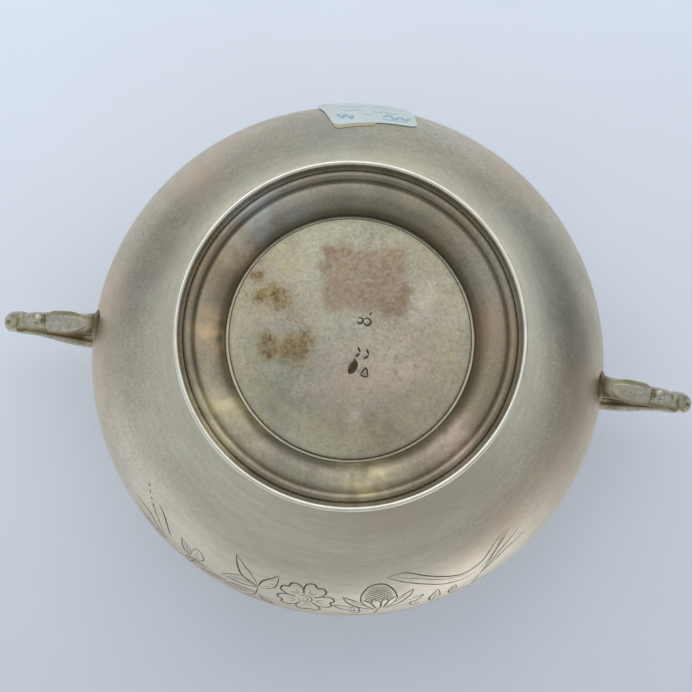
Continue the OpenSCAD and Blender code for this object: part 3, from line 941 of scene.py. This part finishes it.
def build_bowl():
    """The bowl, with its engraved front cut into the metal."""
    outside = bowl_outline(0.0)
    outline = np.vstack([outside, bowl_outline(WALL)[::-1]])
    normal = section_normals(outline)
    points = turned(outline, COLUMNS)
    normals = turned(normal, COLUMNS)
    rows = len(outline)
    row_low = 1 + round((PATCH_LOW + 90) / ARC_STEP)
    row_high = 1 + round((PATCH_HIGH + 90) / ARC_STEP)
    index = np.arange(rows * COLUMNS).reshape(rows, COLUMNS)
    quads = np.array(grid_faces(rows, COLUMNS, wrap_rows=True, wrap_columns=True)).reshape(rows, COLUMNS, 4)
    keep = np.ones((rows, COLUMNS), bool)
    columns = np.arange(-PATCH_COLUMNS, PATCH_COLUMNS + 1)
    keep[row_low:row_high, columns[:-1] % COLUMNS] = False

    step = 2 * np.pi * BELLY_R / COLUMNS
    tilt = np.radians(PATCH_LOW + ARC_STEP * np.arange(row_high - row_low + 1))
    up = tilt * np.where(tilt < 0, LOWER_R, UPPER_R)
    s, t = np.meshgrid(columns * step, up)
    ids = index[row_low:row_high + 1][:, columns % COLUMNS]
    loop = rim_of(*s.shape)
    edge = np.array([(s[k], t[k]) for k in loop])
    inner = np.column_stack([s[1:-1, 1:-1].ravel(), t[1:-1, 1:-1].ravel()])
    field, triangles, depth, in_cut = cut_field(edge, inner, garland())

    fresh, fresh_normals = on_bowl(field[len(edge):, 0], field[len(edge):, 1])
    fresh -= fresh_normals * depth[len(edge):, None]
    known = np.array([ids[k] for k in loop])
    to_global = np.concatenate([known, rows * COLUMNS + np.arange(len(fresh))])
    all_points = np.vstack([points.reshape(-1, 3), fresh])
    all_normals = np.vstack([normals.reshape(-1, 3), fresh_normals])
    patch = to_global[triangles]
    slots = np.concatenate([np.zeros(keep.sum(), int), in_cut.astype(int)])

    used, back = np.unique(np.concatenate([np.ravel(f) for f in (quads[keep], patch)]), return_inverse=True)
    all_points, all_normals = all_points[used], all_normals[used]
    sizes = [4] * keep.sum() + [3] * len(patch)
    corners = np.split(back, np.cumsum(sizes)[:-1])
    faces, corner_normals = [], []
    for corner, slot in zip(corners, slots):
        a, b, c = all_points[corner[:3]]
        flat = np.cross(b - a, c - b)
        smooth_normals = all_normals[corner]
        if flat @ smooth_normals.sum(0) < 0:
            corner, smooth_normals, flat = corner[::-1], smooth_normals[::-1], -flat
        size = np.linalg.norm(flat)
        cut_face = slot and size > 0
        faces.append(corner.tolist())
        corner_normals += [flat / size] * len(corner) if cut_face else list(smooth_normals)
    bowl = make("bowl", all_points, faces, [BOWL_SILVER, GROOVE_SILVER], slots, corner_normals)
    place(bowl, "bowl_silver", "body_shell")


# ---------------------------------------------------------------- base disc, foot and wires

def disc_z(r):
    """Height of the disc's underside."""
    return DISC_EDGE_Z - DISC_BULGE * (1 - (r / DISC_R) ** 2)


def punch_marks():
    """Small plain punched shapes: two rings and a tick, a pair of chevrons, a sunk lozenge and a triangle."""
    lean = 7.0

    def put(points, centre):
        return turn(points, lean, centre)

    cuts = [cut(put(arc((0.75, 0), 0.62, 10, 350, 12), (-2.3, 3.6)), 0.36),
            cut(put(arc((-0.7, 0.1), 0.75, 10, 350, 12), (-2.3, 3.6)), 0.36),
            cut(put([(-0.9, 1.3), (-1.1, 2.4)], (-2.3, 3.6)), 0.36)]
    for x in (-0.95, 0.85):
        cuts.append(cut(put([(x + 0.55, 1.2), (x - 0.4, 0)], (-2.9, -2.9)), 0.42))
        cuts.append(cut(put([(x - 0.4, 0), (x + 0.55, -1.2)], (-2.9, -2.9)), 0.42))
    cuts.append(cut(put([(-0.35, 1.6), (0.0, 0.2), (0.5, -1.5)], (-1.3, -6.0)), 1.5))
    for a, b in (((0, 1.1), (0.85, -0.9)), ((0.85, -0.9), (-0.85, -0.9)), ((-0.85, -0.9), (0, 1.1))):
        cuts.append(cut(put([a, b], (-3.8, -6.6)), 0.36))
    cuts.append(cut(put([(-0.3, -0.25), (0.3, -0.25)], (-3.8, -6.6)), 0.3))
    return cuts


# Radius of each ring of points in the disc's field, and which of the circle's points it keeps
DISC_RINGS = ((20.5, 1), (18.8, 2), (16.6, 2), (14.4, 2), (12.2, 4), (10, 4))
# Depth of a punch mark for each millimetre of its half width
PUNCH_DEPTH = 0.7


def build_disc():
    """The base disc, domed below, with a rolled edge and the punch marks sunk into its underside."""
    columns = 160
    field_r = 22.0
    circle = arc((0, 0), 1, 0, 360, columns)[:-1]
    edge = circle * field_r
    rings = [circle[::step] * r for r, step in DISC_RINGS]
    fine = np.mgrid[-9:9:16j, -9:9:16j].reshape(2, -1).T
    inner = np.vstack(rings + [fine[np.linalg.norm(fine, axis=1) < 9.2]])
    field, triangles, depth, in_cut = cut_field(edge, inner, punch_marks())
    z = disc_z(np.linalg.norm(field, axis=1)) + depth * PUNCH_DEPTH
    points = [np.column_stack([field, z])]

    outline = [(22.7, disc_z(22.7)), (23.4, disc_z(23.4)), (24.0, disc_z(24.0))]
    outline += [tuple(p) for p in arc((DISC_R - 0.35, DISC_EDGE_Z + 0.33), 0.35, -80, 0, 5)]
    outline += [(DISC_R, BOTTOM_Z), (HOLE_R, BOTTOM_Z), (HOLE_R - 0.3, BOTTOM_Z + 0.25), (12, BOTTOM_Z + 0.1)]
    ring = [np.column_stack([circle * r, np.full(columns, height)]) for r, height in outline]
    faces = triangles.tolist()
    slots = in_cut.astype(int).tolist()
    count = len(field)
    previous = np.arange(columns)
    for row in ring:
        here = count + np.arange(columns)
        points.append(row)
        faces += np.column_stack([previous, np.roll(previous, -1), np.roll(here, -1), here]).tolist()
        slots += [0] * columns
        previous = here
        count += columns
    points.append([[0, 0, BOTTOM_Z + 0.05]])
    faces += [(a, b, count) for a, b in zip(previous.tolist(), np.roll(previous, -1).tolist())]
    slots += [0] * columns
    disc = make("base_plate", np.vstack(points), faces, [DISC_SILVER, PUNCH_SILVER], slots)
    face_outwards(disc)
    place(disc, "disc_silver", "base_disc")


def build_foot():
    """The spread foot: upright neck, quarter curve, flange, and a bead under the flange."""
    spread = (FOOT_NECK_R + SPREAD_R, FLANGE_Z + SPREAD_R)
    top = BOTTOM_Z + 0.1
    outline = np.vstack([
        [(FOOT_NECK_R + FOOT_T + 0.5, top), (FOOT_NECK_R + FOOT_T + 0.1, top - 0.35)],
        arc(spread, SPREAD_R - FOOT_T, 180, 268, 12),
        [(31.5, FLANGE_Z + FOOT_T), (FLANGE_R, FLANGE_Z + FOOT_T), (FLANGE_R, FLANGE_Z)],
        arc((BEAD_RING_R, FLANGE_Z - 0.1), BEAD_R, 0, -172, 16),
        [(31.3, FLANGE_Z + 0.1), (31.0, FLANGE_Z - 0.02), (30.2, FLANGE_Z - 0.02)],
        arc(spread, SPREAD_R, 266, 180, 16),
        [(FOOT_NECK_R, top)],
    ])
    lathe("foot", outline, 256, FOOT_SILVER, 0.03, 3, "foot_silver", "foot_skirt")


def build_foot_wire():
    """The bright band around the foot, worn and a little nicked."""
    half = WIRE_T / 2
    ring = WIRE_HIGH[1] - half
    top = WIRE_HIGH[2]
    outline = np.vstack([arc((ring, half), half, 180, 360, 12), arc((ring, top - half), half, 0, 180, 12)])
    lathe("foot_band", outline, 320, WIRE_SILVER, 0.05, 11, "wire_silver", "foot_wire")


def build_mouth_wire():
    """The rolled wire around the mouth."""
    outline = arc((RIM_RING_R, RIM_Z), RIM_WIRE_R, 0, 360, 28)[:-1]
    outline[:, 1] = np.minimum(outline[:, 1], RIM_HIGH[2])
    lathe("mouth_wire", outline, 256, WIRE_SILVER, 0.04, 21, "wire_silver", "mouth_rim")


# ---------------------------------------------------------------- handles

def loop_path(steps_mm=0.3):
    """The handle's centre line in its own plane, X outwards and Y up, from the lower end to the upper."""
    end = 90 - UPPER_SLOPE
    crest = BEND + (BEND_R - CREST_R) * unit(end) + UPPER_STRAIGHT * unit(end + 90)
    start = BEND + BEND_R * unit(LOWER_SLOPE - 90)
    finish = crest + CREST_R * unit(CREST_END)
    path = np.vstack([
        [start - 21.2 * unit(LOWER_SLOPE)],
        arc(BEND, BEND_R, LOWER_SLOPE - 90, end, 24),
        arc(crest, CREST_R, end, CREST_END, 18),
        [finish + 1.9 * unit(CREST_END + 90)],
    ])
    along = lengths(path)
    at = np.arange(0, along[-1], steps_mm)
    return sample(path, along, at), at


def wave(x, middle, width):
    """A smooth hump of height 1."""
    return np.exp(-((x - middle) / width) ** 2)


def place_cast(piece, hollow, node):
    """Places a cast piece, with how dark it is at each point, from tarnish in its hollows and from painted
    shade, which the material reads.
    """
    layer = piece.data.attributes.new("hollow", "FLOAT", "POINT")
    layer.data.foreach_set("value", np.asarray(hollow, np.float32))
    face_outwards(piece)
    place(piece, "handle_silver", node)


def build_loop(name, side):
    """The cast loop: keeled arms, a swollen bend with an oval hollow, and a leaf thumb-piece on the crest."""
    path, along = loop_path()
    out = -sideways(path)
    total = along[-1]
    # Distances along the loop of the oval hollow at the bend and of the thumb-piece
    hollow, crest = 23.4, 40.0
    spin = np.radians(np.arange(0, 360, 9))
    l, a = np.meshgrid(along, spin, indexing="ij")
    half_w = LOOP_W / 2 * (1 - 0.10 * wave(l, 18.5, 1.2) + 0.04 * wave(l, hollow, 4))
    half_w *= 1 - 0.35 * wave(l, 33, 6) + 0.12 * wave(l, total, 2.5) + 0.1 * wave(l, 0, 2.5)
    half_w *= 1 - 0.34 * wave(l, 26.6, 2.3)
    half_t = LOOP_T / 2 * (0.95 + 0.1 * wave(l, hollow, 4) - 0.12 * wave(l, 33, 6) + 0.25 * wave(l, crest, 3))
    c, s = np.cos(a), np.sin(a)
    y = half_w * np.sign(c) * np.abs(c) ** 0.8
    n = half_t * np.sign(s) * np.abs(s) ** 0.9
    outer = np.clip(s, 0, 1)
    keel = outer * np.clip(1 - np.abs(y / half_w - RIDGE) / 1.2, 0, 1) * 0.45
    veins = 0.16 * outer * np.cos(2 * np.pi * (l + 1.1 * np.abs(y)) / 1.7) * wave(l, crest, 5)
    oval = np.hypot((l - hollow) / 2.5, (y - 0.15) / 1.25)
    scoop = 0.75 * outer * wave(oval, 0, 0.55)
    swirl = 0.3 * outer * wave(oval, 1.25, 0.22) * (y > -0.6)
    crease = 0.22 * outer * wave(l, 19.0, 0.5) * np.clip(0.8 - y, 0, 1)
    flutes = 0.14 * np.clip(-s, 0, 1) * np.cos(2 * np.pi * y / 1.45)
    lift = keel * (1 - wave(l, hollow, 2.2)) + veins - scoop - swirl - crease + flutes
    n = n + lift
    # Painted shade, with tarnish, darkens both roots where the arms meet the bowl.
    root = np.clip(1 - l / 2.6, 0, 1) + np.clip(1 - (total - l) / 2.6, 0, 1)
    # Painted shade on the upper arm's underside between the arms, where the lower arm shades it; shaded_side
    # adds it to one side of the lower arm.
    between = np.clip((0.85 - c) / 0.5, 0, 1) * np.clip(-1.5 * s, 0, 1) * (l > 29)
    shaded_side = 0.85 * wave(c, 1, 0.45) * (l < 21) + 0.8 * between
    carved = scoop * 1.3 + swirl * 2.2 + crease * 1.6 - veins * 2 - flutes * 1.5
    # The dark amount is patina in the carved hollows plus the painted shade.
    dark = np.clip(carved + root * 0.9 + shaded_side, 0, 1)
    x = path[:, :1] + out[:, :1] * n
    z = path[:, 1:] + out[:, 1:] * n
    points = np.stack([x * side, -y, z], -1)
    faces = grid_faces(len(along), len(spin), wrap_columns=True)
    first, last = np.arange(len(spin)), (len(along) - 1) * len(spin) + np.arange(len(spin))
    faces += [first.tolist(), last[::-1].tolist()]
    loop = make(name + "_loop", points.reshape(-1, 3), faces, [CAST_SILVER], sharp=60)
    place_cast(loop, dark.ravel(), name + "_handle_loop")


# The leaf begins this far from the bend. Its curl is moved sideways by CURL_SHIFT, and its facets meet at
# RIDGE, where -1 and 1 are its edges.
LEAF_START = 6.8
LEAF_LEN = 12.6
LEAF_W = 4.8
CURL_R = 1.1
CURL_W = 2.5
CURL_SHIFT = 0.55
RIDGE = -0.42


def build_leaf(name, side):
    """The leaf under the lower arm: two worn facets that meet at a ridge nearer one edge, with a few lines
    along it, and a tip that rolls over into a bright knuckle."""
    slope = math.radians(LOWER_SLOPE)
    back = -np.array([math.cos(slope), math.sin(slope)])
    out = np.array([math.sin(slope), -math.cos(slope)])
    tip = BEND + BEND_R * out + LEAF_START * back
    flat = np.linspace(LEAF_LEN, 0, 52)
    roll = np.radians(np.linspace(0, 300, 30)[1:])
    u = np.concatenate([flat, -np.sin(roll) * CURL_R * 0.85])
    curl = np.concatenate([np.zeros(len(flat)), (1 - np.cos(roll)) * CURL_R * 0.8])
    bend_angle = np.concatenate([np.zeros(len(flat)), roll])
    v = np.linspace(-1, 1, 33)
    shape = np.clip(1 - np.abs((u - 5.6) / 7.4) ** 3.2, 0.1, 1)
    shape = np.where(u < 1.5, CURL_W / LEAF_W * (1 - 0.25 * (bend_angle > 0) * np.sin(bend_angle / 2)), shape)
    blend = np.clip((3.0 - u) / 2.2, 0, 1) * (bend_angle == 0)
    shape = shape * (1 - blend) + blend * CURL_W / LEAF_W
    half = LEAF_W / 2 * shape
    uu, vv = np.meshgrid(u, v, indexing="ij")
    y = vv * half[:, None] - CURL_SHIFT * np.clip((2.4 - uu) / 2.4, 0, 1)
    steep = np.clip((vv + 1) / (RIDGE + 1), 0, 1) ** 0.7
    gentle = np.clip((1 - vv) / (1 - RIDGE), 0, 1) ** 0.85
    rolled = (bend_angle > 0)[:, None]
    round_over = np.sqrt(np.clip(1 - vv ** 2, 0, 1))
    keel = np.where(rolled, 0.2, 1.25 * np.minimum(steep, gentle))
    rise = np.clip((LEAF_LEN - uu) / 7.0, 0.03, 1) ** 0.9
    lines = sum(wave(vv, place_v + 0.08 * np.sin(uu * 0.9 + k), 0.055) * depth
                for k, (place_v, depth) in enumerate(((-0.14, 0.05), (0.24, 0.04), (0.6, 0.06))))
    lines = lines * np.where(rolled, 0.0, np.clip((uu - 0.6) / 2, 0, 1) * np.clip((LEAF_LEN - uu) / 3, 0, 1))
    neck = 0.45 * wave(uu, 1.7, 0.5) * ~rolled
    base = LOOP_T / 2 - 0.05
    thick = 0.18 + keel * rise - lines - neck * np.minimum(steep, gentle)

    def lay(height):
        """Points height above the leaf's floor, which follows the roll at its tip."""
        a = bend_angle[:, None]
        along = uu + height * np.sin(a)
        up = base + curl[:, None] + height * np.cos(a)
        x = tip[0] + back[0] * along + out[0] * up
        z = tip[1] + back[1] * along + out[1] * up
        return np.stack([x * side, -y, z], -1)

    points, faces = slab(lay(thick), lay(np.where(rolled, -0.42 * round_over, 0.0)))
    piece = make(name + "_leaf", points, faces, [CAST_SILVER], sharp=50)
    # Painted shade: the steep facet is darker, and a dark line runs along the leaf's edge on the gentle
    # facet's side, where it meets the arm.
    painted_facet_shade = 0.5 * np.clip((RIDGE - 0.06 - vv) / 0.1, 0, 1) * ~rolled
    dark = np.clip(lines * 2.5 + neck * 1.4 + painted_facet_shade + 0.6 * wave(vv, 1, 0.16) * ~rolled, 0, 1)
    # Painted shade under the leaf: its underside is dark except beneath the curl.
    painted_underside_shade = 1.0 - rolled * np.ones_like(vv)
    place_cast(piece, np.concatenate([dark.ravel(), painted_underside_shade.ravel()]), name + "_handle_leaf")


# For each end of a handle: distance up the wall from its widest place, radius and height of the pad
PADS = (("lower", -7.3, 3.4, 1.0), ("upper", 12.7, 3.0, 0.9))
# Size of the mound against the CAD's pad, before its ragged edge
PAD_SCALE = 0.98


def build_pad(side, node, up_mm, radius, height):
    """A plate of solder between the bowl and an arm: a low mound with a ragged skirt."""
    rings, spokes = 10, 48
    spin = np.linspace(0, 2 * np.pi, spokes, endpoint=False)
    ragged = 1 + 0.07 * ripple(spin, (2, 3, 5, 7), 5 if side > 0 else 9)
    rho = np.linspace(0.08, 1, rings)[:, None]
    s = rho * radius * ragged * np.cos(spin) * PAD_SCALE
    t = rho * radius * ragged * np.sin(spin) * PAD_SCALE
    rise = height * np.clip(1 - rho ** 2, 0, 1) ** 0.8
    quarter = side * math.pi / 2 * BELLY_R
    wall, normal = on_bowl(quarter + s, up_mm + t)
    top = wall + normal * rise[..., None]
    floor = top - normal * (rise[..., None] + 0.3)
    points = np.vstack([top.reshape(-1, 3), floor.reshape(-1, 3)])
    n = rings * spokes
    faces = back_to_back(grid_faces(rings, spokes, wrap_columns=True), n)
    last = (rings - 1) * spokes + np.arange(spokes)
    faces += np.column_stack([last, np.roll(last, -1), n + np.roll(last, -1), n + last]).tolist()
    faces += [list(range(spokes)), [n + i for i in range(spokes)][::-1]]
    piece = make(node + "_mound", points, faces, [CAST_SILVER])
    place_cast(piece, np.tile(0.45 + 0.4 * rho.repeat(spokes, 1).ravel(), 2), node)


# ---------------------------------------------------------------- label

# Radius of the wall behind the label's middle
LABEL_WALL_R = 50.0


def behind(x, up, out=0.0):
    """Points and normals on the back of the bowl, x across the label towards +X and up along the wall."""
    return on_bowl(math.pi * BELLY_R - np.asarray(x) * BELLY_R / LABEL_WALL_R, up, out)


def wall_distance(z):
    """Distance along the wall from the widest place to height z below it."""
    return LOWER_R * math.asin((z - BELLY_Z) / LOWER_R)


LABEL_SIZE = (18.8, 15.0)
LABEL_LEAN = -11.0
LABEL_DROP = 0.8
LABEL_MIDDLE = (LABEL_LOW + LABEL_HIGH) / 2
LABEL_CENTRE = (LABEL_MIDDLE[0], wall_distance(LABEL_MIDDLE[2]) - LABEL_DROP)
PAPER_T = 0.12


def sheet_of_paper(name, centre, size, corner, out, lift, material):
    """A thin sheet with round corners on the bowl. lift(u, v) raises it, with u and v from -1 to 1."""
    u, v = np.meshgrid(np.linspace(-1, 1, 45), np.linspace(-1, 1, 31))
    half_w, half_h = size[0] / 2, size[1] / 2
    y = v * half_h
    beyond = np.clip(np.abs(y) - (half_h - corner), 0, corner)
    x = u * (half_w - corner + np.sqrt(corner ** 2 - beyond ** 2 + 1e-9))
    rise = out + lift(u, v)
    x, y = np.moveaxis(turn(np.stack([x, y], -1), LABEL_LEAN, centre), -1, 0)
    wall, normal = behind(x, y)
    piece = make(name, *slab(wall + normal * (rise + PAPER_T)[..., None], wall + normal * rise[..., None]),
                 [material])
    face_outwards(piece)
    place(piece, "label_paper", "price_label")


def label_lift(u, v):
    """The label's upper edge and corners stand a little off the bowl."""
    return 0.05 + 1.2 * np.clip(v - 0.3, 0, 1) ** 2 + 1.2 * np.clip(np.abs(u) - 0.75, 0, 1) ** 2 * (v > 0)


def no_lift(u, v):
    """A sheet that lies flat on the bowl."""
    return 0 * (u + v)


def build_label():
    """A price label with a few faded pen strokes over the corner of an older one."""
    sheet_of_paper("label", LABEL_CENTRE, LABEL_SIZE, 1.6, 0.02, label_lift, PAPER)
    low_corner = turn([(4.6, -LABEL_SIZE[1] / 2 + 1.0)], LABEL_LEAN, LABEL_CENTRE)[0]
    sheet_of_paper("older_label", low_corner, (9.4, 4.4), 1.2, 0.0, no_lift, OLD_PAPER)
    strokes = [
        ([(7.4, -2.2), (6.6, -4.6), (5.8, -3.0), (4.8, -5.4), (4.4, -3.8)], 0.3),
        ([(-2.2, -4.6), (-3.6, -3.2), (-4.6, -5.4), (-5.8, -3.6), (-7.0, -4.8), (-8.0, -3.4)], 0.3),
        ([(-1.8, -5.6), (-4.4, -6.0), (-7.4, -5.8)], 0.14),
        ([(-0.4, -0.8), (-1.6, -2.0), (-2.8, -0.6), (-4.2, -1.8), (-5.6, -1.0)], 0.16),
        ([(5.6, 0.6), (4.2, -0.6), (2.6, 0.4), (1.2, -0.8)], 0.12),
        ([(6.4, 3.4), (4.6, 4.4), (2.4, 3.2), (0.4, 4.2)], 0.12),
        ([(-1.0, 3.4), (-3.0, 4.4), (-5.0, 3.2), (-7.4, 4.0)], 0.12),
        ([(2.0, -2.6), (0.8, -3.6), (-0.2, -2.8)], 0.12),
    ]
    points, faces = [], []
    for stroke, half in strokes:
        path = smooth(stroke, 0.25)
        side = half * sideways(path)
        start = len(points)
        for flat in np.stack([path - side, path + side], 1).reshape(-1, 2):
            lift = 0.02 + label_lift(*(flat / LABEL_SIZE * 2)) + 0.15
            points.append(behind(*turn([flat], LABEL_LEAN, LABEL_CENTRE)[0], lift)[0])
        faces += [(start + 2 * k, start + 2 * k + 1, start + 2 * k + 3, start + 2 * k + 2)
                  for k in range(len(path) - 1)]
    pen = make("pen_strokes", np.array(points), faces, [INK])
    solid = pen.modifiers.new("thickness", "SOLIDIFY")
    solid.thickness = 0.02 * MM
    place(pen, "label_paper", "price_label")


build_bowl()
build_disc()
build_foot()
build_foot_wire()
build_mouth_wire()
for hand, way in (("left", -1), ("right", 1)):
    build_loop(hand, way)
    build_leaf(hand, way)
    for end, *shape in PADS:
        build_pad(way, f"{hand}_{end}_pad", *shape)
build_label()


# ---------------------------------------------------------------- stage, light and camera

CLOTH = (0.665, 0.735, 0.825)
BACKDROP = (0.60, 0.655, 0.73)
# How bright the room is from straight below to straight above
ROOM_TONES = ((0.0, 0.52), (0.16, 0.55), (0.27, 0.60), (0.36, 0.54), (0.45, 0.48), (0.53, 0.50), (0.66, 0.62),
              (0.8, 0.66), (1.0, 0.64))
# How dark the band at the sides is, over its slanted height
DARK_BAND = ((0.35, 0.0), (0.45, 0.7), (0.575, 1.0), (0.75, 1.0), (0.875, 0.0))
# A window, a ceiling panel and a door: the direction each lies in, how narrow it is, and its strength
GLOWS = (((-0.55, 0.62, -0.56), 9.0, 0.7), ((-0.45, -0.6, 0.66), 14.0, 1.1), ((0.82, -0.46, 0.33), 7.0, 0.42))
LAMP_AIM = (0, 0, 0.03)
# Azimuth, elevation and roll of the camera, in degrees
CAMERA_ANGLES = (-1.55, -81.74, 7)
CAMERA_DISTANCE = 0.5
CAMERA_TARGET = (0.00071, 0.00032, 0.020)
CAMERA_LENS = 124.9


def one_sided(name, height_m, side_m, faces_up, painted_falloff, glow):
    """A wide floor that shows only from the side it faces, and never in reflections or as a shadow. Its
    colour is painted darker towards -Y and -X by the falloff amount, in place of light falling off.
    """
    tree = Tree(name)
    shader = tree.nodes.new("ShaderNodeBsdfPrincipled")
    shader.inputs["Roughness"].default_value = 0.9
    cloudy = tree.ramp(tree.noise(60, detail=3), (0.3, 0.0), (0.7, 1.0))
    weave = tree.mix(cloudy, CLOTH, tuple(0.96 * c for c in CLOTH))
    x, y, _ = tree.split(tree.where)
    # Painted light falloff: the colour darkens towards -Y and, less, towards -X.
    across = tree.math("MULTIPLY_ADD", x, painted_falloff * 0.25, 1.0)
    level = tree.math("MULTIPLY_ADD", y, painted_falloff, across)
    shaded = tree.vector("MULTIPLY", weave, tree.combine(level, level, level))
    tree.join(shaded, shader.inputs["Base Color"])
    tree.join(shaded, shader.inputs["Emission Color"])
    shader.inputs["Emission Strength"].default_value = glow
    facing = tree.nodes.new("ShaderNodeNewGeometry").outputs["Backfacing"]
    far = tree.ramp(tree.vector("LENGTH", tree.where), (0.25, 0.0), (1.0, 1.0))
    tree.choose(tree.math("MAXIMUM", facing, far), shader, tree.nodes.new("ShaderNodeBsdfTransparent"))
    half = side_m / 2
    corners = [(-half, -half), (half, -half), (half, half), (-half, half)]
    mesh = bpy.data.meshes.new(name)
    order = (0, 1, 2, 3) if faces_up else (3, 2, 1, 0)
    mesh.from_pydata([(x, y, height_m) for x, y in corners], [], [order])
    mesh.materials.append(tree.owner)
    plane = link(name, mesh)
    plane.visible_diffuse = plane.visible_glossy = plane.visible_shadow = False


def area_light(name, place_m, power, size_m):
    """A soft square lamp that looks at the bowl."""
    lamp = bpy.data.lights.new(name, "AREA")
    lamp.energy, lamp.size = power, size_m
    holder = link(name, lamp)
    holder.location = place_m
    holder.rotation_mode = "QUATERNION"
    holder.rotation_quaternion = (Vector(LAMP_AIM) - Vector(place_m)).to_track_quat("-Z", "Y")


def studio():
    """Soft light from all round: a pale room with a dark band at the sides. The camera sees a plain wall."""
    tree = Tree("studio", world=True)
    bpy.context.scene.world = tree.owner
    x, y, z = tree.split(tree.where)
    height = tree.plus(tree.times(z, 0.5), 0.5)
    level = tree.ramp(height, *[(at, (tone, tone, tone * 1.02)) for at, tone in ROOM_TONES])
    slant = tree.plus(z, tree.times(y, 0.55))
    band = tree.ramp(tree.plus(tree.times(slant, 0.5), 0.5), *DARK_BAND)
    across = tree.math("MAXIMUM", tree.times(x, -2.0), tree.times(x, 1.4))
    reach = tree.math("MAXIMUM", tree.minus(across, 0.55), 0.0)
    rise = tree.clip(tree.plus(tree.times(y, 1.3), 0.62))
    depth = tree.times(tree.times(band, 0.5), tree.times(reach, rise))
    room = tree.minus(1.0, tree.math("MINIMUM", depth, 0.75))
    lamps = 0.0
    for towards, narrow, strength in GLOWS:
        facing = tree.vector("DOT_PRODUCT", tree.where, tuple(Vector(towards).normalized()))
        glow = tree.math("POWER", tree.math("MAXIMUM", facing, 0.0), narrow)
        lamps = tree.plus(lamps, tree.times(glow, strength))
    tilt = tree.plus(tree.plus(1.0, tree.times(x, 0.06)), tree.times(y, 0.08))
    overhead = tree.clip(tree.times(tree.minus(z, 0.78), 5.0))
    frontward = tree.clip(tree.times(y, -3.5))
    shade = tree.minus(1.0, tree.times(tree.times(overhead, frontward), 0.45))
    room_light, wall = [tree.nodes.new("ShaderNodeBackground") for _ in range(2)]
    tree.join(level, room_light.inputs["Color"])
    tree.join(tree.plus(tree.times(tree.times(room, tilt), shade), lamps), room_light.inputs["Strength"])
    tree.join(BACKDROP, wall.inputs["Color"])
    tree.choose(tree.nodes.new("ShaderNodeLightPath").outputs["Is Camera Ray"], room_light, wall)


def camera():
    """Looks up at the underside, turned so that the handle line leans as the bowl was laid."""
    azimuth, elevation, roll = (math.radians(angle) for angle in CAMERA_ANGLES)
    back = Vector((math.sin(azimuth) * math.cos(elevation), -math.cos(azimuth) * math.cos(elevation),
                   math.sin(elevation)))
    right = (-back).cross(Vector((0, 1, 0))).normalized()
    up = right.cross(-back)
    right, up = (math.cos(roll) * right + math.sin(roll) * up, math.cos(roll) * up - math.sin(roll) * right)
    data = bpy.data.cameras.new("camera")
    data.sensor_width = 36
    data.lens = CAMERA_LENS
    data.clip_start = 0.01
    data.clip_end = 50
    holder = link("camera", data)
    turned_to = Matrix((right, up, back)).transposed().to_4x4()
    holder.matrix_world = Matrix.Translation(Vector(CAMERA_TARGET) + back * CAMERA_DISTANCE) @ turned_to
    bpy.context.scene.camera = holder


one_sided("floor", 0.0, 8, True, 0.0, 0.25)
one_sided("cloth", RIM_HIGH[2] * MM, 0.6, False, 1.5, 0.22)
studio()
area_light("underside_key", (0.3, 0.75, -1.2), 4.5, 1.4)
camera()
bpy.context.scene.view_settings.view_transform = "Standard"
